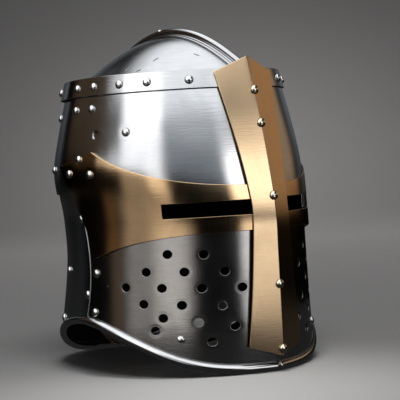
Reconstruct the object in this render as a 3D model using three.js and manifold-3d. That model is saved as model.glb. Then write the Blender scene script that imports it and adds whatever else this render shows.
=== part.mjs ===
// A knight's great helm: steel plates riveted in layers, with a brass cross over the face.
// Millimetres, +Z up. The wearer faces -Y, the wearer's right is -X, and the helm stands on z = 0.
//
// Every plate follows one surface, the shell. A place on it is a bearing in degrees, 0 at the front keel
// and 180 at the back (positive on the wearer's right), a height z, and an offset out along the normal.
import * as THREE from 'three';
import { mergeVertices } from 'three/addons/utils/BufferGeometryUtils.js';
import Module from 'manifold-3d';

const wasm = await Module();
wasm.setup();

// ---- driving dimensions ----

// the shell's levels: height, half width, keel distance in front, distance behind
const SHELL_LEVELS = [
  [0, 121.5, 145, 157],
  [50, 120, 145, 146],
  [85, 118.5, 145, 133],
  [115, 117.5, 145, 126],
  [150, 116.5, 145, 132],
  [203, 117, 137.5, 148.5],
  [240, 110.5, 130, 139.5],
  [292, 98, 117.5, 125.5],
  [306, 94.5, 114, 122],
];
const WIDEST_Y = -5; // the shell is widest on this line
const KEEL_SHARPNESS = 0.2; // 0 would round the front keel away

const STEEL = 1.6; // plate thickness
const LAYER = 2.2; // from one layer of plate to the next, so that layers keep a small gap
const GAP = 0.3; // between pieces that touch

const FRONT_ROLL_RADIUS = 4.6; // the rolled rim under the front plates
const BACK_ROLL_RADIUS = 3.9;
const RIM_RISE = 49; // how far the lower edge arches up over the shoulders
const RIM_TOP_BEARING = 95; // where the arch is highest
const RIM_FLAT = 3; // degrees at the keel and at the back that lie flat on the ground
const ROLL_SIDES = 8;

const BAND_BOTTOM = 273;
const BAND_TOP = 291.4;
const SLOT = { from: 3, to: 46.5, bottom: 151.5, top: 165.5 };
const LOWER_FRONT = { from: 0.4, top: 176 };
const UPPER_FRONT_BOTTOM = 141;
const LOWER_BACK = { from: 81, top: 192 };
const UPPER_BACK = { from: 84, bottom: 178 };
const PLATE_TOP = 290;
const CUTTER = { inside: -12, outside: 14, pastEdge: 9 }; // how far the cutters for slots and holes reach

const CAP = { halfWidth: 80, halfLength: 126, middleY: 5.5, base: 287.5, rise: 47, power: 1.1 };
const SKIRT_BOTTOM = 268;
const CREST_HEIGHT = 9;

// the nasal bar: its half width at the waist, how that grows either way, its ends, the offsets of its
// edges and its ridge from the shell
const NASAL = { waist: 22, waistZ: 160,
  topFlare: 13, topReach: 130, topCurve: 1.2, topZ: 304, topDrop: 14.5,
  bottomFlare: 10.5, bottomReach: 135, bottomCurve: 1.6, bottomZ: 14.5, bottomRise: 11,
  edge: 9.1, ridge: 10.8, thick: 2 };

// a sight arm: bearings and heights of its corners, and how its two long edges curve between them
const ARM = { start: 1.5, waistTop: 179.2, waistBottom: 136.8, peak: 81, peakZ: 218.3,
  rearCorner: 105.5, rearCornerZ: 206, lowCorner: 80.8, lowCornerZ: 115.2,
  topCurve: 2.25, bottomCurve: 3.3, clear: 0.1 };

const BREATH_RADIUS = 4.3;
const STRAP_HOLE_RADIUS = 2.4;
// rows of breath holes on each cheek: first bearing, step, count, first height, rise per degree
const BREATH_ROWS = [
  [30, 15.6, 2, 116.4, 0.1],
  [21.4, 17.1, 3, 99.6, 0.06],
  [14.2, 17.2, 4, 83.2, 0.08],
  [23, 17.1, 3, 67.3, 0.11],
  [18, 15.2, 3, 47.1, 0.34],
  [27.8, 24.3, 2, 33.4, 0.5],
];

const RIVET = { radius: 3.8, height: 2.7 };
const NASAL_RIVETS = [22, 84, 167, 236, 268];
const LINER = { thick: 2.5, inset: 7, bottom: 212, top: 250 };
const TONGUE = { count: 6, inset: 11, foot: 236, crownZ: 303, crownRadius: 9.6, arc: 83.7,
  halfWidth: 24, tipHalfWidth: 8, taper: 0.8 };

// the chin strap hangs buckled, as half an ellipse under two rivets
const STRAP = { bearing: 91.3, pivotZ: 79, above: 10, width: 22, thick: 2.5, halfSpan: 113.5,
  bendZ: 70, drop: 54 };
const BUCKLE = { hinge: 48, far: 35, bar: 1.6, halfWidth: 15.5, prongWidth: 3 };

// ---- materials ----

const steel = new THREE.MeshStandardMaterial({ color: 0xb4b6ba, roughness: 0.25, metalness: 1 });
const darkSteel = new THREE.MeshStandardMaterial({ color: 0x8d8f94, roughness: 0.32, metalness: 1 });
const brass = new THREE.MeshStandardMaterial({ color: 0xb98f5a, roughness: 0.3, metalness: 1 });
const brightSteel = new THREE.MeshStandardMaterial({ color: 0xd0d0d0, roughness: 0.18, metalness: 1 });
const leather = new THREE.MeshStandardMaterial({ color: 0x5a3a24, roughness: 0.7, metalness: 0 });

const helm = new THREE.Group();

function add(name, geometry, material) {
  const mesh = new THREE.Mesh(geometry, material);
  mesh.name = name;
  helm.add(mesh);
}

// ---- the shell ----

const radians = THREE.MathUtils.degToRad;
const lerp = THREE.MathUtils.lerp;
const wrapped = (bearing) => (bearing > 180 ? bearing - 360 : bearing);
const around = (s) => wrapped(360 * s);

// a smooth curve through one column of the shell's levels
function levelValue(z, column) {
  const rows = SHELL_LEVELS;
  let i = 0;
  while (i < rows.length - 2 && z > rows[i + 1][0]) i++;
  const slope = (k) => {
    if (k === 0 || k === rows.length - 1) {
      const [a, b] = k === 0 ? [0, 1] : [k - 1, k];
      return (rows[b][column] - rows[a][column]) / (rows[b][0] - rows[a][0]);
    }
    const before = rows[k][0] - rows[k - 1][0];
    const after = rows[k + 1][0] - rows[k][0];
    const slopeBefore = (rows[k][column] - rows[k - 1][column]) / before;
    const slopeAfter = (rows[k + 1][column] - rows[k][column]) / after;
    return (slopeBefore * after + slopeAfter * before) / (before + after);
  };
  const span = rows[i + 1][0] - rows[i][0];
  const t = (z - rows[i][0]) / span;
  return (2 * t ** 3 - 3 * t ** 2 + 1) * rows[i][column]
    + (t ** 3 - 2 * t ** 2 + t) * span * slope(i)
    + (3 * t ** 2 - 2 * t ** 3) * rows[i + 1][column]
    + (t ** 3 - t ** 2) * span * slope(i + 1);
}

function shellPoint(bearing, z) {
  const side = bearing >= 0 ? -1 : 1;
  const b = Math.abs(bearing);
  const halfWidth = levelValue(z, 1);
  if (b <= 90) {
    const start = Math.asin(KEEL_SHARPNESS);
    const wide = halfWidth / (1 - KEEL_SHARPNESS);
    const long = (levelValue(z, 2) + WIDEST_Y) / Math.cos(start);
    const t = start + (Math.PI / 2 - start) * (b / 90);
    const x = wide * Math.sin(t) - (wide - halfWidth);
    return new THREE.Vector3(side * x, WIDEST_Y - long * Math.cos(t), z);
  }
  const long = levelValue(z, 3) - WIDEST_Y;
  const t = radians(b);
  return new THREE.Vector3(side * halfWidth * Math.sin(t), WIDEST_Y - long * Math.cos(t), z);
}

function shellNormal(bearing, z) {
  const step = 0.2;
  const b = Math.abs(bearing) < step ? step * (bearing < 0 ? -1 : 1) : bearing;
  const along = shellPoint(b + step * 0.9, z).sub(shellPoint(b - step * 0.9, z));
  const up = shellPoint(b, z + 0.5).sub(shellPoint(b, z - 0.5));
  const normal = along.cross(up).normalize();
  const out = shellPoint(b, z).setZ(0);
  return normal.dot(out) < 0 ? normal.negate() : normal;
}

// a point off the shell; on the keel itself the offset is mitred, so that both sides meet
function onShell(bearing, z, offset) {
  const normal = shellNormal(bearing, z);
  if (Math.abs(bearing) < 1e-6) {
    const mitre = 1 / (normal.y ** 2 + normal.z ** 2);
    normal.set(0, normal.y * mitre, normal.z * mitre);
  }
  return shellPoint(bearing, z).addScaledVector(normal, offset);
}

// ---- solids ----

function solid(points, faces) {
  const geometry = new THREE.BufferGeometry();
  const places = points.flatMap((p) => p.toArray());
  geometry.setAttribute('position', new THREE.Float32BufferAttribute(places, 3));
  let volume = 0;
  for (const [a, b, c] of faces) {
    volume += points[a].dot(points[b].clone().cross(points[c]));
  }
  geometry.setIndex(faces.flatMap(([a, b, c]) => (volume < 0 ? [a, c, b] : [a, b, c])));
  return geometry;
}

// the faces between neighbouring sections, each a closed loop of size points
function facesBetween(count, size, closed) {
  const faces = [];
  for (let i = 0; i < (closed ? count : count - 1); i++) {
    const next = (i + 1) % count;
    for (let j = 0; j < size; j++) {
      const k = (j + 1) % size;
      const [a, b, c, d] = [i * size + j, i * size + k, next * size + k, next * size + j];
      faces.push([a, b, c], [a, c, d]);
    }
  }
  return faces;
}

// triangles that fill one flat section
function fill(section) {
  const u = section[1].clone().sub(section[0]).normalize();
  const flat = section.map((p) => p.clone().sub(section[0]));
  const normal = new THREE.Vector3();
  flat.forEach((p, j) => normal.add(p.clone().cross(flat[(j + 1) % flat.length])));
  const v = normal.normalize().cross(u);
  const outline = flat.map((p) => new THREE.Vector2(p.dot(u), p.dot(v)));
  return THREE.ShapeUtils.triangulateShape(outline, []);
}

// a bar through flat sections, filled at both ends
function sweep(sections) {
  const size = sections[0].length;
  const faces = facesBetween(sections.length, size, false);
  const last = (sections.length - 1) * size;
  for (const [a, b, c] of fill(sections[0])) faces.push([a, c, b]);
  for (const [a, b, c] of fill(sections.at(-1))) faces.push([last + a, last + b, last + c]);
  return solid(sections.flat(), faces);
}

// a thin plate through sections that run up its outer face and down its inner one; its ends are
// closed row by row, or joined when it goes all the way round
function strips(sections, rows, closed = false) {
  const size = 2 * (rows + 1);
  const faces = facesBetween(sections.length, size, closed);
  const last = (sections.length - 1) * size;
  for (let j = 0; !closed && j < rows; j++) {
    const [a, b, c, d] = [j, j + 1, size - 2 - j, size - 1 - j];
    faces.push([a, c, b], [a, d, c]);
    faces.push([last + a, last + b, last + c], [last + a, last + c, last + d]);
  }
  return solid(sections.flat(), faces);
}

// a plate: place(s, t) gives bearing and height for s and t from 0 to 1
function plate(place, columns, rows, inner, outer, closed = false) {
  const sections = [];
  for (let i = 0; i < (closed ? columns : columns + 1); i++) {
    const places = Array.from({ length: rows + 1 }, (_, j) => place(i / columns, j / rows));
    sections.push([
      ...places.map(([bearing, z]) => onShell(bearing, z, outer)),
      ...places.toReversed().map(([bearing, z]) => onShell(bearing, z, inner)),
    ]);
  }
  return strips(sections, rows, closed);
}

function toManifold(geometry) {
  const bare = new THREE.BufferGeometry();
  bare.setAttribute('position', geometry.getAttribute('position').clone());
  bare.setIndex(geometry.index);
  const merged = mergeVertices(bare, 1e-5);
  return new wasm.Manifold(new wasm.Mesh({
    numProp: 3,
    vertProperties: new Float32Array(merged.getAttribute('position').array),
    triVerts: new Uint32Array(merged.index.array),
  }));
}

function fromManifold(manifold) {
  const mesh = manifold.getMesh();
  const geometry = new THREE.BufferGeometry();
  geometry.setAttribute('position', new THREE.BufferAttribute(mesh.vertProperties, 3));
  geometry.setIndex(new THREE.BufferAttribute(mesh.triVerts, 1));
  return geometry;
}

function cut(geometry, cutters) {
  let body = toManifold(geometry);
  for (const cutter of cutters) body = body.subtract(toManifold(cutter));
  return fromManifold(body);
}

const UP = new THREE.Vector3(0, 1, 0); // the axis that three's round solids are made along
const turnedTo = (direction) => new THREE.Quaternion().setFromUnitVectors(UP, direction);

function bareCylinder(radius, length, sides) {
  const geometry = new THREE.CylinderGeometry(radius, radius, length, sides);
  geometry.deleteAttribute('normal');
  geometry.deleteAttribute('uv');
  return mergeVertices(geometry, 1e-5);
}

// the cutter for a round hole through the shell
function holeCutter(bearing, z, radius, sides) {
  const geometry = bareCylinder(radius, CUTTER.outside - CUTTER.inside, sides);
  geometry.applyQuaternion(turnedTo(shellNormal(bearing, z)));
  const middle = onShell(bearing, z, (CUTTER.inside + CUTTER.outside) / 2);
  return geometry.translate(middle.x, middle.y, middle.z);
}

// ---- edges of the plates ----

function rimHump(bearing) {
  const b = Math.abs(bearing);
  if (b <= RIM_TOP_BEARING) {
    const t = Math.max(0, (b - RIM_FLAT) / (RIM_TOP_BEARING - RIM_FLAT));
    return Math.sin(t * Math.PI / 2) ** 3;
  }
  const t = Math.max(0, (180 - RIM_FLAT - b) / (180 - RIM_FLAT - RIM_TOP_BEARING));
  return Math.sin(t * Math.PI / 2) ** 2.2;
}

const rimHeight = (bearing, radius) => radius + RIM_RISE * rimHump(bearing);

// the lower edge of a plate, just clear of the rolled rim
function footHeight(bearing, radius) {
  const a = shellPoint(bearing - 1, rimHeight(bearing - 1, radius));
  const b = shellPoint(bearing + 1, rimHeight(bearing + 1, radius));
  const slope = (b.z - a.z) / Math.hypot(b.x - a.x, b.y - a.y);
  const corner = radius / Math.cos(Math.PI / ROLL_SIDES);
  return rimHeight(bearing, radius) + (corner + GAP) * Math.hypot(1, slope);
}

// the bearing of the lower front plates' rear edge, of a sight arm's end and of the upper front plate's
// rear edge, which keeps just inside the arm's end and then leans forward to the band
const SEAM_FOOT = 90.4;
const LOWER_SEAM = { straightBelow: 60, waist: 87.3, waistZ: 103, curve: 0.0017 };
const lowerSeam = (z) => (z < LOWER_SEAM.straightBelow ? SEAM_FOOT
  : LOWER_SEAM.waist + LOWER_SEAM.curve * (z - LOWER_SEAM.waistZ) ** 2);
const UPPER_SEAM = { insideArm: 0.6, top: 101 };
const armEnd = (z) => lerp(ARM.lowCorner, ARM.rearCorner,
  (z - ARM.lowCornerZ) / (ARM.rearCornerZ - ARM.lowCornerZ));
const upperSeam = (z) => (z < ARM.rearCornerZ ? armEnd(z) - UPPER_SEAM.insideArm
  : lerp(ARM.rearCorner - UPPER_SEAM.insideArm, UPPER_SEAM.top,
    (z - ARM.rearCornerZ) / (PLATE_TOP - ARM.rearCornerZ)));

// ---- steel plates ----

const PAST_KEEL = -2; // the steel plates' slots meet across the keel
const slotCutter = (side, from, bottom, top) => plate(
  (s, t) => [side * lerp(from, SLOT.to, s), lerp(bottom, top, t)], 10, 1, CUTTER.inside, CUTTER.outside);

function breathHoles(side) {
  const holes = [];
  for (const [first, step, count, z, rise] of BREATH_ROWS) {
    for (let i = 0; i < count; i++) {
      holes.push(holeCutter(side * (first + i * step), z + i * step * rise, BREATH_RADIUS, 8));
    }
  }
  return holes;
}

function lowerFrontPlate(side) {
  const place = (s, t) => {
    const foot = footHeight(lerp(LOWER_FRONT.from, SEAM_FOOT, s), FRONT_ROLL_RADIUS);
    const z = lerp(foot, LOWER_FRONT.top, t);
    return [side * lerp(LOWER_FRONT.from, lowerSeam(z), s), z];
  };
  const body = plate(place, 14, 7, LAYER - STEEL, LAYER);
  const slot = slotCutter(side, PAST_KEEL, SLOT.bottom, LOWER_FRONT.top + CUTTER.pastEdge);
  return cut(body, [slot, ...breathHoles(side)]);
}

function upperFrontPlate() {
  const place = (s, t) => {
    const z = lerp(UPPER_FRONT_BOTTOM, PLATE_TOP, t);
    return [(2 * s - 1) * upperSeam(z), z];
  };
  const body = plate(place, 32, 10, 2 * LAYER - STEEL, 2 * LAYER);
  const bottom = UPPER_FRONT_BOTTOM - CUTTER.pastEdge;
  return cut(body, [-1, 1].map((side) => slotCutter(side, PAST_KEEL, bottom, SLOT.top)));
}

const backPlate = (from, bottom, top, layer, rows) => plate(
  (s, t) => {
    const bearing = wrapped(lerp(from, 360 - from, s));
    return [bearing, lerp(bottom(bearing), top, t)];
  }, 28, rows, layer - STEEL, layer);

add('lower_front_plate_right', lowerFrontPlate(1), steel);
add('lower_front_plate_left', lowerFrontPlate(-1), steel);
add('upper_front_plate', upperFrontPlate(), steel);
const upperBack = backPlate(UPPER_BACK.from, () => UPPER_BACK.bottom, PLATE_TOP, LAYER, 9);
add('upper_back_plate', upperBack, darkSteel);

const strapHoles = [-1, 1].map(
  (side) => holeCutter(side * STRAP.bearing, STRAP.pivotZ, STRAP_HOLE_RADIUS, 10));
const backFoot = (bearing) => footHeight(bearing,
  Math.abs(bearing) < SEAM_FOOT + 2 ? FRONT_ROLL_RADIUS : BACK_ROLL_RADIUS);
const lowerBack = backPlate(LOWER_BACK.from, backFoot, LOWER_BACK.top, 0, 10);
add('lower_back_plate', cut(lowerBack, strapHoles), darkSteel);

// ---- rim band, dome and crest ----

add('rim_band', plate((s, t) => [around(s), lerp(BAND_BOTTOM, BAND_TOP, t)], 40, 1,
  3 * LAYER - STEEL, 3 * LAYER, true), steel);

function capHeight(x, y) {
  const r = Math.hypot(x / CAP.halfWidth, (y - CAP.middleY) / CAP.halfLength);
  return CAP.base + CAP.rise * Math.max(0, 1 - r * r) ** CAP.power;
}

// the dome: a raised cap inside a narrow ledge, then a skirt that goes down inside the plates
function skullDome() {
  const columns = 32;
  const reach = [1, 0.96, 0.89, 0.83, 0.76, 0.62, 0.45, 0.25];
  const capRing = (fraction, thick) => (bearing) => {
    const edge = (offset) => onShell(bearing, PLATE_TOP, offset);
    const scaled = (p) => new THREE.Vector3(p.x * fraction,
      CAP.middleY + (p.y - CAP.middleY) * fraction, 0);
    const over = scaled(edge(0));
    return scaled(edge(-thick)).setZ(capHeight(over.x, over.y) - thick);
  };
  const skirtRing = (z, thick) => (bearing) => onShell(bearing, z, -thick);
  const face = (thick) => [
    skirtRing(SKIRT_BOTTOM, thick), skirtRing(SKIRT_BOTTOM + 12, thick),
    ...reach.map((fraction) => capRing(fraction, thick)),
  ];
  const rings = [...face(STEEL).toReversed(), ...face(0)];
  const points = rings.flatMap(
    (ring) => Array.from({ length: columns }, (_, i) => ring(around(i / columns))));
  const faces = facesBetween(rings.length, columns, false);
  const crown = CAP.base + CAP.rise;
  const [innerPole, outerPole] = [points.length, points.length + 1];
  points.push(new THREE.Vector3(0, CAP.middleY, crown - STEEL), new THREE.Vector3(0, CAP.middleY, crown));
  const lastRing = (rings.length - 1) * columns;
  for (let i = 0; i < columns; i++) {
    const j = (i + 1) % columns;
    faces.push([innerPole, j, i], [outerPole, lastRing + i, lastRing + j]);
  }
  return solid(points, faces);
}
add('skull_dome', skullDome(), steel);

// the crest comb: a flanged strip with a rounded bead, bent along the dome's middle line
const CREST = { front: -113.5, back: 113.5 };
const CREST_SECTION = [
  [-7.5, 0.4], [7.5, 0.4], [7.5, 1.8], [4.4, 2.6], [4.1, 5.8], [2.6, 8.2], [0, CREST_HEIGHT],
  [-2.6, 8.2], [-4.1, 5.8], [-4.4, 2.6], [-7.5, 1.8],
];
function crestAt(y) {
  const step = 0.5;
  const slope = (capHeight(0, y + step) - capHeight(0, y - step)) / (2 * step);
  const out = new THREE.Vector3(0, -slope, 1).normalize();
  return { foot: new THREE.Vector3(0, y, capHeight(0, y)), out };
}
const crestSections = [];
for (let i = 0; i <= 16; i++) {
  const { foot, out } = crestAt(lerp(CREST.front, CREST.back, i / 16));
  crestSections.push(CREST_SECTION.map(([x, h]) => foot.clone().addScaledVector(out, h).setX(x)));
}
add('crest_comb', sweep(crestSections), steel);

// ---- brass cross ----

function nasalHalfWidth(z) {
  if (z > NASAL.waistZ) {
    return NASAL.waist + NASAL.topFlare * ((z - NASAL.waistZ) / NASAL.topReach) ** NASAL.topCurve;
  }
  const below = (NASAL.waistZ - z) / NASAL.bottomReach;
  return NASAL.waist + NASAL.bottomFlare * below ** NASAL.bottomCurve;
}

// the bearing at which the shell, offset, is this far from the middle
function bearingAt(x, z, offset) {
  let [low, high] = [0.5, 60];
  for (let i = 0; i < 30; i++) {
    const middle = (low + high) / 2;
    if (-onShell(middle, z, offset).x < x) low = middle;
    else high = middle;
  }
  return low;
}

// the nasal bar is folded on its ridge: its two halves are flat across
function nasalBar() {
  const rows = 14;
  const sections = [];
  for (const u of [-1, 0, 1]) {
    const reach = Math.abs(u);
    const bottom = NASAL.bottomZ + NASAL.bottomRise * reach;
    const top = NASAL.topZ - NASAL.topDrop * reach;
    const face = (z, drop) => {
      const bearing = bearingAt(nasalHalfWidth(z), z, NASAL.edge);
      const edge = onShell(bearing, z, NASAL.edge - drop);
      const ridge = onShell(0, z, NASAL.ridge - drop);
      const p = ridge.lerp(edge, reach);
      return new THREE.Vector3(u > 0 ? -p.x : p.x, p.y, p.z);
    };
    const heights = Array.from({ length: rows + 1 }, (_, j) => lerp(bottom, top, j / rows));
    sections.push([
      ...heights.map((z) => face(z, 0)),
      ...heights.toReversed().map((z) => face(z, NASAL.thick)),
    ]);
  }
  return strips(sections, rows);
}
add('nasal_bar', nasalBar(), brass);

const armTop = (bearing) => (bearing <= ARM.peak
  ? ARM.waistTop + (ARM.peakZ - ARM.waistTop) * (bearing / ARM.peak) ** ARM.topCurve
  : lerp(ARM.peakZ, ARM.rearCornerZ, (bearing - ARM.peak) / (ARM.rearCorner - ARM.peak)));
const armBottom = (bearing) => ARM.waistBottom
  - (ARM.waistBottom - ARM.lowCornerZ) * (bearing / ARM.lowCorner) ** ARM.bottomCurve;

// a sight arm: a ruled patch between its upper and lower edges, with the eye slot cut out
function sightArm(side) {
  const place = (s, t) => {
    const high = lerp(ARM.start, ARM.rearCorner, s);
    const low = lerp(ARM.start, ARM.lowCorner, s);
    return [side * lerp(low, high, t), lerp(armBottom(low), armTop(high), t)];
  };
  const outer = 3 * LAYER + ARM.clear;
  const body = plate(place, 20, 4, outer - STEEL, outer);
  return cut(body, [slotCutter(side, SLOT.from, SLOT.bottom, SLOT.top)]);
}
add('sight_arm_right', sightArm(1), brass);
add('sight_arm_left', sightArm(-1), brass);

// ---- rolled rim ----

function roll(from, to, steps, radius, offset) {
  const corner = radius / Math.cos(Math.PI / ROLL_SIDES);
  const centre = (bearing) => {
    const z = rimHeight(wrapped(bearing), radius);
    return onShell(wrapped(bearing), z, offset).setZ(z);
  };
  const sections = [];
  for (let i = 0; i <= steps; i++) {
    const bearing = lerp(from, to, i / steps);
    const along = centre(bearing + 0.3).sub(centre(bearing - 0.3));
    if (rimHump(wrapped(bearing)) === 0) along.setZ(0);
    const across = new THREE.Vector3(0, 0, 1).cross(along.normalize()).normalize();
    const upward = along.clone().cross(across);
    const middle = centre(bearing);
    sections.push(Array.from({ length: ROLL_SIDES }, (_, k) => {
      const angle = (k + 0.5) * 2 * Math.PI / ROLL_SIDES;
      return middle.clone().addScaledVector(across, corner * Math.cos(angle))
        .addScaledVector(upward, corner * Math.sin(angle));
    }));
  }
  return sweep(sections);
}
const ROLL_GAP = { keel: 0.6, seam: 0.4 }; // degrees
for (const [name, side] of [['front_roll_right', 1], ['front_roll_left', -1]]) {
  const [from, to] = [side * ROLL_GAP.keel, side * SEAM_FOOT];
  add(name, roll(from, to, 22, FRONT_ROLL_RADIUS, LAYER - STEEL / 2), brightSteel);
}
const backStart = SEAM_FOOT + ROLL_GAP.seam;
add('back_roll', roll(backStart, 360 - backStart, 42, BACK_ROLL_RADIUS, -STEEL / 2), brightSteel);

// ---- rivets ----

// a domed rivet head whose flat underside rests just clear of the layer below it
function rivetHead(seat, out) {
  const rings = 3;
  const profile = [new THREE.Vector2(0, 0)];
  for (let i = 0; i < rings; i++) {
    const t = (i / rings) * Math.PI / 2;
    profile.push(new THREE.Vector2(RIVET.radius * Math.cos(t), RIVET.height * Math.sin(t)));
  }
  profile.push(new THREE.Vector2(0, RIVET.height));
  const geometry = new THREE.LatheGeometry(profile, 8);
  geometry.deleteAttribute('normal');
  geometry.deleteAttribute('uv');
  const merged = dropFlatFaces(mergeVertices(geometry, 1e-5));
  merged.applyQuaternion(turnedTo(out));
  const place = seat.clone().addScaledVector(out, GAP);
  return merged.translate(place.x, place.y, place.z);
}

// a lathe leaves faces without area on its axis
function dropFlatFaces(geometry) {
  const index = geometry.index.array;
  const kept = [];
  for (let i = 0; i < index.length; i += 3) {
    const [a, b, c] = [index[i], index[i + 1], index[i + 2]];
    if (a !== b && b !== c && c !== a) kept.push(a, b, c);
  }
  geometry.setIndex(kept);
  return geometry;
}

function rivet(name, bearing, z, layer, material = brightSteel) {
  add(name, rivetHead(onShell(bearing, z, layer * LAYER), shellNormal(bearing, z)), material);
}

// name, bearing, height, layer it sits on; each is made on both sides
const SIDE_RIVETS = [
  ['arm_rivet_top', 90, 211.5, 3],
  ['arm_rivet_rear', 96.4, 198.5, 3],
  ['arm_rivet_front', 81.4, 197, 3],
  ['brow_rivet_front', 85.3, 260.5, 2],
  ['brow_rivet_rear', 98.5, 260.5, 2],
  ['liner_rivet', 61.6, 235.5, 2],
  ['seam_rivet_top', 94.6, 153.8, 0],
  ['seam_rivet_middle', 82.9, 100.5, 1],
  ['seam_rivet_bottom', 84.7, 62.3, 1],
  ['cheek_rivet', 41.1, 36.5, 1],
  ['band_rivet_1', 29.8, 281.5, 3],
  ['band_rivet_2', 50.9, 281.5, 3],
  ['band_rivet_3', 66.5, 281.5, 3],
  ['band_rivet_4', 98.8, 281.5, 3],
];
for (const [name, bearing, z, layer] of SIDE_RIVETS) {
  rivet(`${name}_right`, bearing, z, layer);
  rivet(`${name}_left`, -bearing, z, layer);
}

NASAL_RIVETS.forEach((z, i) => {
  const seat = onShell(0, z, NASAL.ridge);
  const step = 1;
  const along = onShell(0, z + step, NASAL.ridge).sub(onShell(0, z - step, NASAL.ridge)).normalize();
  const out = new THREE.Vector3(0, -along.z, along.y).normalize();
  add(`nasal_rivet_${i + 1}`, rivetHead(seat, out), brass);
});

// ---- liner ----

add('liner_headband', plate((s, t) => [around(s), lerp(LINER.bottom, LINER.top, t)], 36, 1,
  -LINER.inset - LINER.thick, -LINER.inset, true), leather);

// a crown tongue curves up and in from inside the headband, and narrows towards the crown
function crownTongue(middle) {
  const steps = 7;
  const place = (bearing, arc, drop) => {
    const edge = onShell(wrapped(bearing), LINER.top, -TONGUE.inset);
    edge.set(edge.x, edge.y - CAP.middleY, 0);
    edge.setLength(lerp(TONGUE.crownRadius, edge.length() - drop, Math.cos(arc)));
    const z = lerp(TONGUE.foot, TONGUE.crownZ, Math.sin(arc)) - drop;
    return new THREE.Vector3(edge.x, edge.y + CAP.middleY, z);
  };
  const sections = [];
  for (let i = 0; i <= steps; i++) {
    const arc = radians(TONGUE.arc) * i / steps;
    const half = lerp(TONGUE.halfWidth, TONGUE.tipHalfWidth, (i / steps) ** TONGUE.taper);
    const bearings = [-1, -1 / 3, 1 / 3, 1].map((across) => middle + half * across);
    sections.push([
      ...bearings.map((bearing) => place(bearing, arc, 0)),
      ...bearings.toReversed().map((bearing) => place(bearing, arc, LINER.thick)),
    ]);
  }
  return sweep(sections);
}
for (let i = 0; i < TONGUE.count; i++) {
  const spacing = 360 / TONGUE.count;
  add(`liner_tongue_${i + 1}`, crownTongue((i + 0.5) * spacing), leather);
}

// ---- chin strap ----

const pivot = onShell(STRAP.bearing, STRAP.pivotZ, 0);

// the strap's middle line, by its angle from the lowest point; past 90 it runs straight up the wall.
// The offset is away from the chin, and the right side is positive.
function strapPoint(angle, offset) {
  const line = (a) => {
    const side = a >= 0 ? -1 : 1;
    const bend = Math.min(Math.abs(a), 90);
    const x = side * STRAP.halfSpan * Math.sin(radians(bend));
    const z = STRAP.bendZ - STRAP.drop * Math.cos(radians(bend)) + Math.max(0, Math.abs(a) - 90);
    return new THREE.Vector2(x, z);
  };
  const along = line(angle + 0.25).sub(line(angle - 0.25)).normalize();
  return line(angle).add(new THREE.Vector2(along.y, -along.x).multiplyScalar(-offset));
}

// a flat outline in x and z, given a width across the strap
function acrossStrap(outline, width) {
  return sweep([-width / 2, width / 2].map(
    (y) => outline.map((p) => new THREE.Vector3(p.x, pivot.y + y, p.y))));
}

function ribbon(from, to, steps, offsetAt) {
  const angles = Array.from({ length: steps + 1 }, (_, i) => lerp(from, to, i / steps));
  const half = STRAP.thick / 2;
  return acrossStrap([
    ...angles.map((a) => strapPoint(a, offsetAt(a) + half)),
    ...angles.toReversed().map((a) => strapPoint(a, offsetAt(a) - half)),
  ], STRAP.width);
}

function crossBar(angle, radius, width, sides = 10) {
  const centre = strapPoint(angle, 0);
  return acrossStrap(Array.from({ length: sides }, (_, k) => {
    const turn = (2 * Math.PI * (k + 0.5)) / sides;
    return new THREE.Vector2(centre.x + radius * Math.cos(turn), centre.y + radius * Math.sin(turn));
  }), width);
}

// a bar of round section along X at the strap's pivot, from one x to another
function pivotPeg(side, radius, from, to) {
  const geometry = bareCylinder(radius, to - from, 10).rotateZ(Math.PI / 2);
  return geometry.translate(side * (from + to) / 2, pivot.y, STRAP.pivotZ);
}

function join(geometries) {
  const [first, ...rest] = geometries.map(toManifold);
  return fromManifold(rest.reduce((body, other) => body.add(other), first));
}

const strapHole = (side) => pivotPeg(side, STRAP_HOLE_RADIUS, STRAP.halfSpan - 8, STRAP.halfSpan + 8);
const strapEnd = 99 + STRAP.above;
const loopRadius = BUCKLE.bar + GAP + STRAP.thick;
const barHole = crossBar(BUCKLE.hinge, BUCKLE.bar + GAP, 40);

// where the free end lies, as angles along the strap: under the far bar, then rising to over the hinge
// bar's loop, then down on to the other strap
const FREE_END = { tip: 66, dip: [24, 33], rise: [36, 45], settle: [51, 58],
  under: -3.6, over: loopRadius + 0.4 + STRAP.thick / 2, along: STRAP.thick + 0.5 };
function freeEndOffset(angle) {
  const ease = ([from, to]) => THREE.MathUtils.smoothstep(angle, from, to);
  return FREE_END.under * ease(FREE_END.dip)
    + (FREE_END.over - FREE_END.under) * ease(FREE_END.rise)
    + (FREE_END.along - FREE_END.over) * ease(FREE_END.settle);
}

// the slot that the prong passes through, wider than the prong and deeper than the leather
const PRONG_SLOT = { reach: 12, play: 2, right: [BUCKLE.hinge + 4, BUCKLE.far], left: [53, 36.5] };
const prongSlot = ([from, to]) => {
  const { reach, play } = PRONG_SLOT;
  const outline = [strapPoint(from, -reach), strapPoint(to, -reach), strapPoint(to, reach),
    strapPoint(from, reach)];
  return acrossStrap(outline, BUCKLE.prongWidth + play);
};

const strapRight = join([
  ribbon(strapEnd, BUCKLE.hinge + 1, 16, () => 0),
  crossBar(BUCKLE.hinge, loopRadius, STRAP.width),
]);
const strapLeft = ribbon(-strapEnd, FREE_END.tip, 44, freeEndOffset);
add('chin_strap_right', cut(strapRight, [barHole, strapHole(-1), prongSlot(PRONG_SLOT.right)]), leather);
add('chin_strap_left', cut(strapLeft, [strapHole(1), prongSlot(PRONG_SLOT.left)]), leather);

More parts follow.
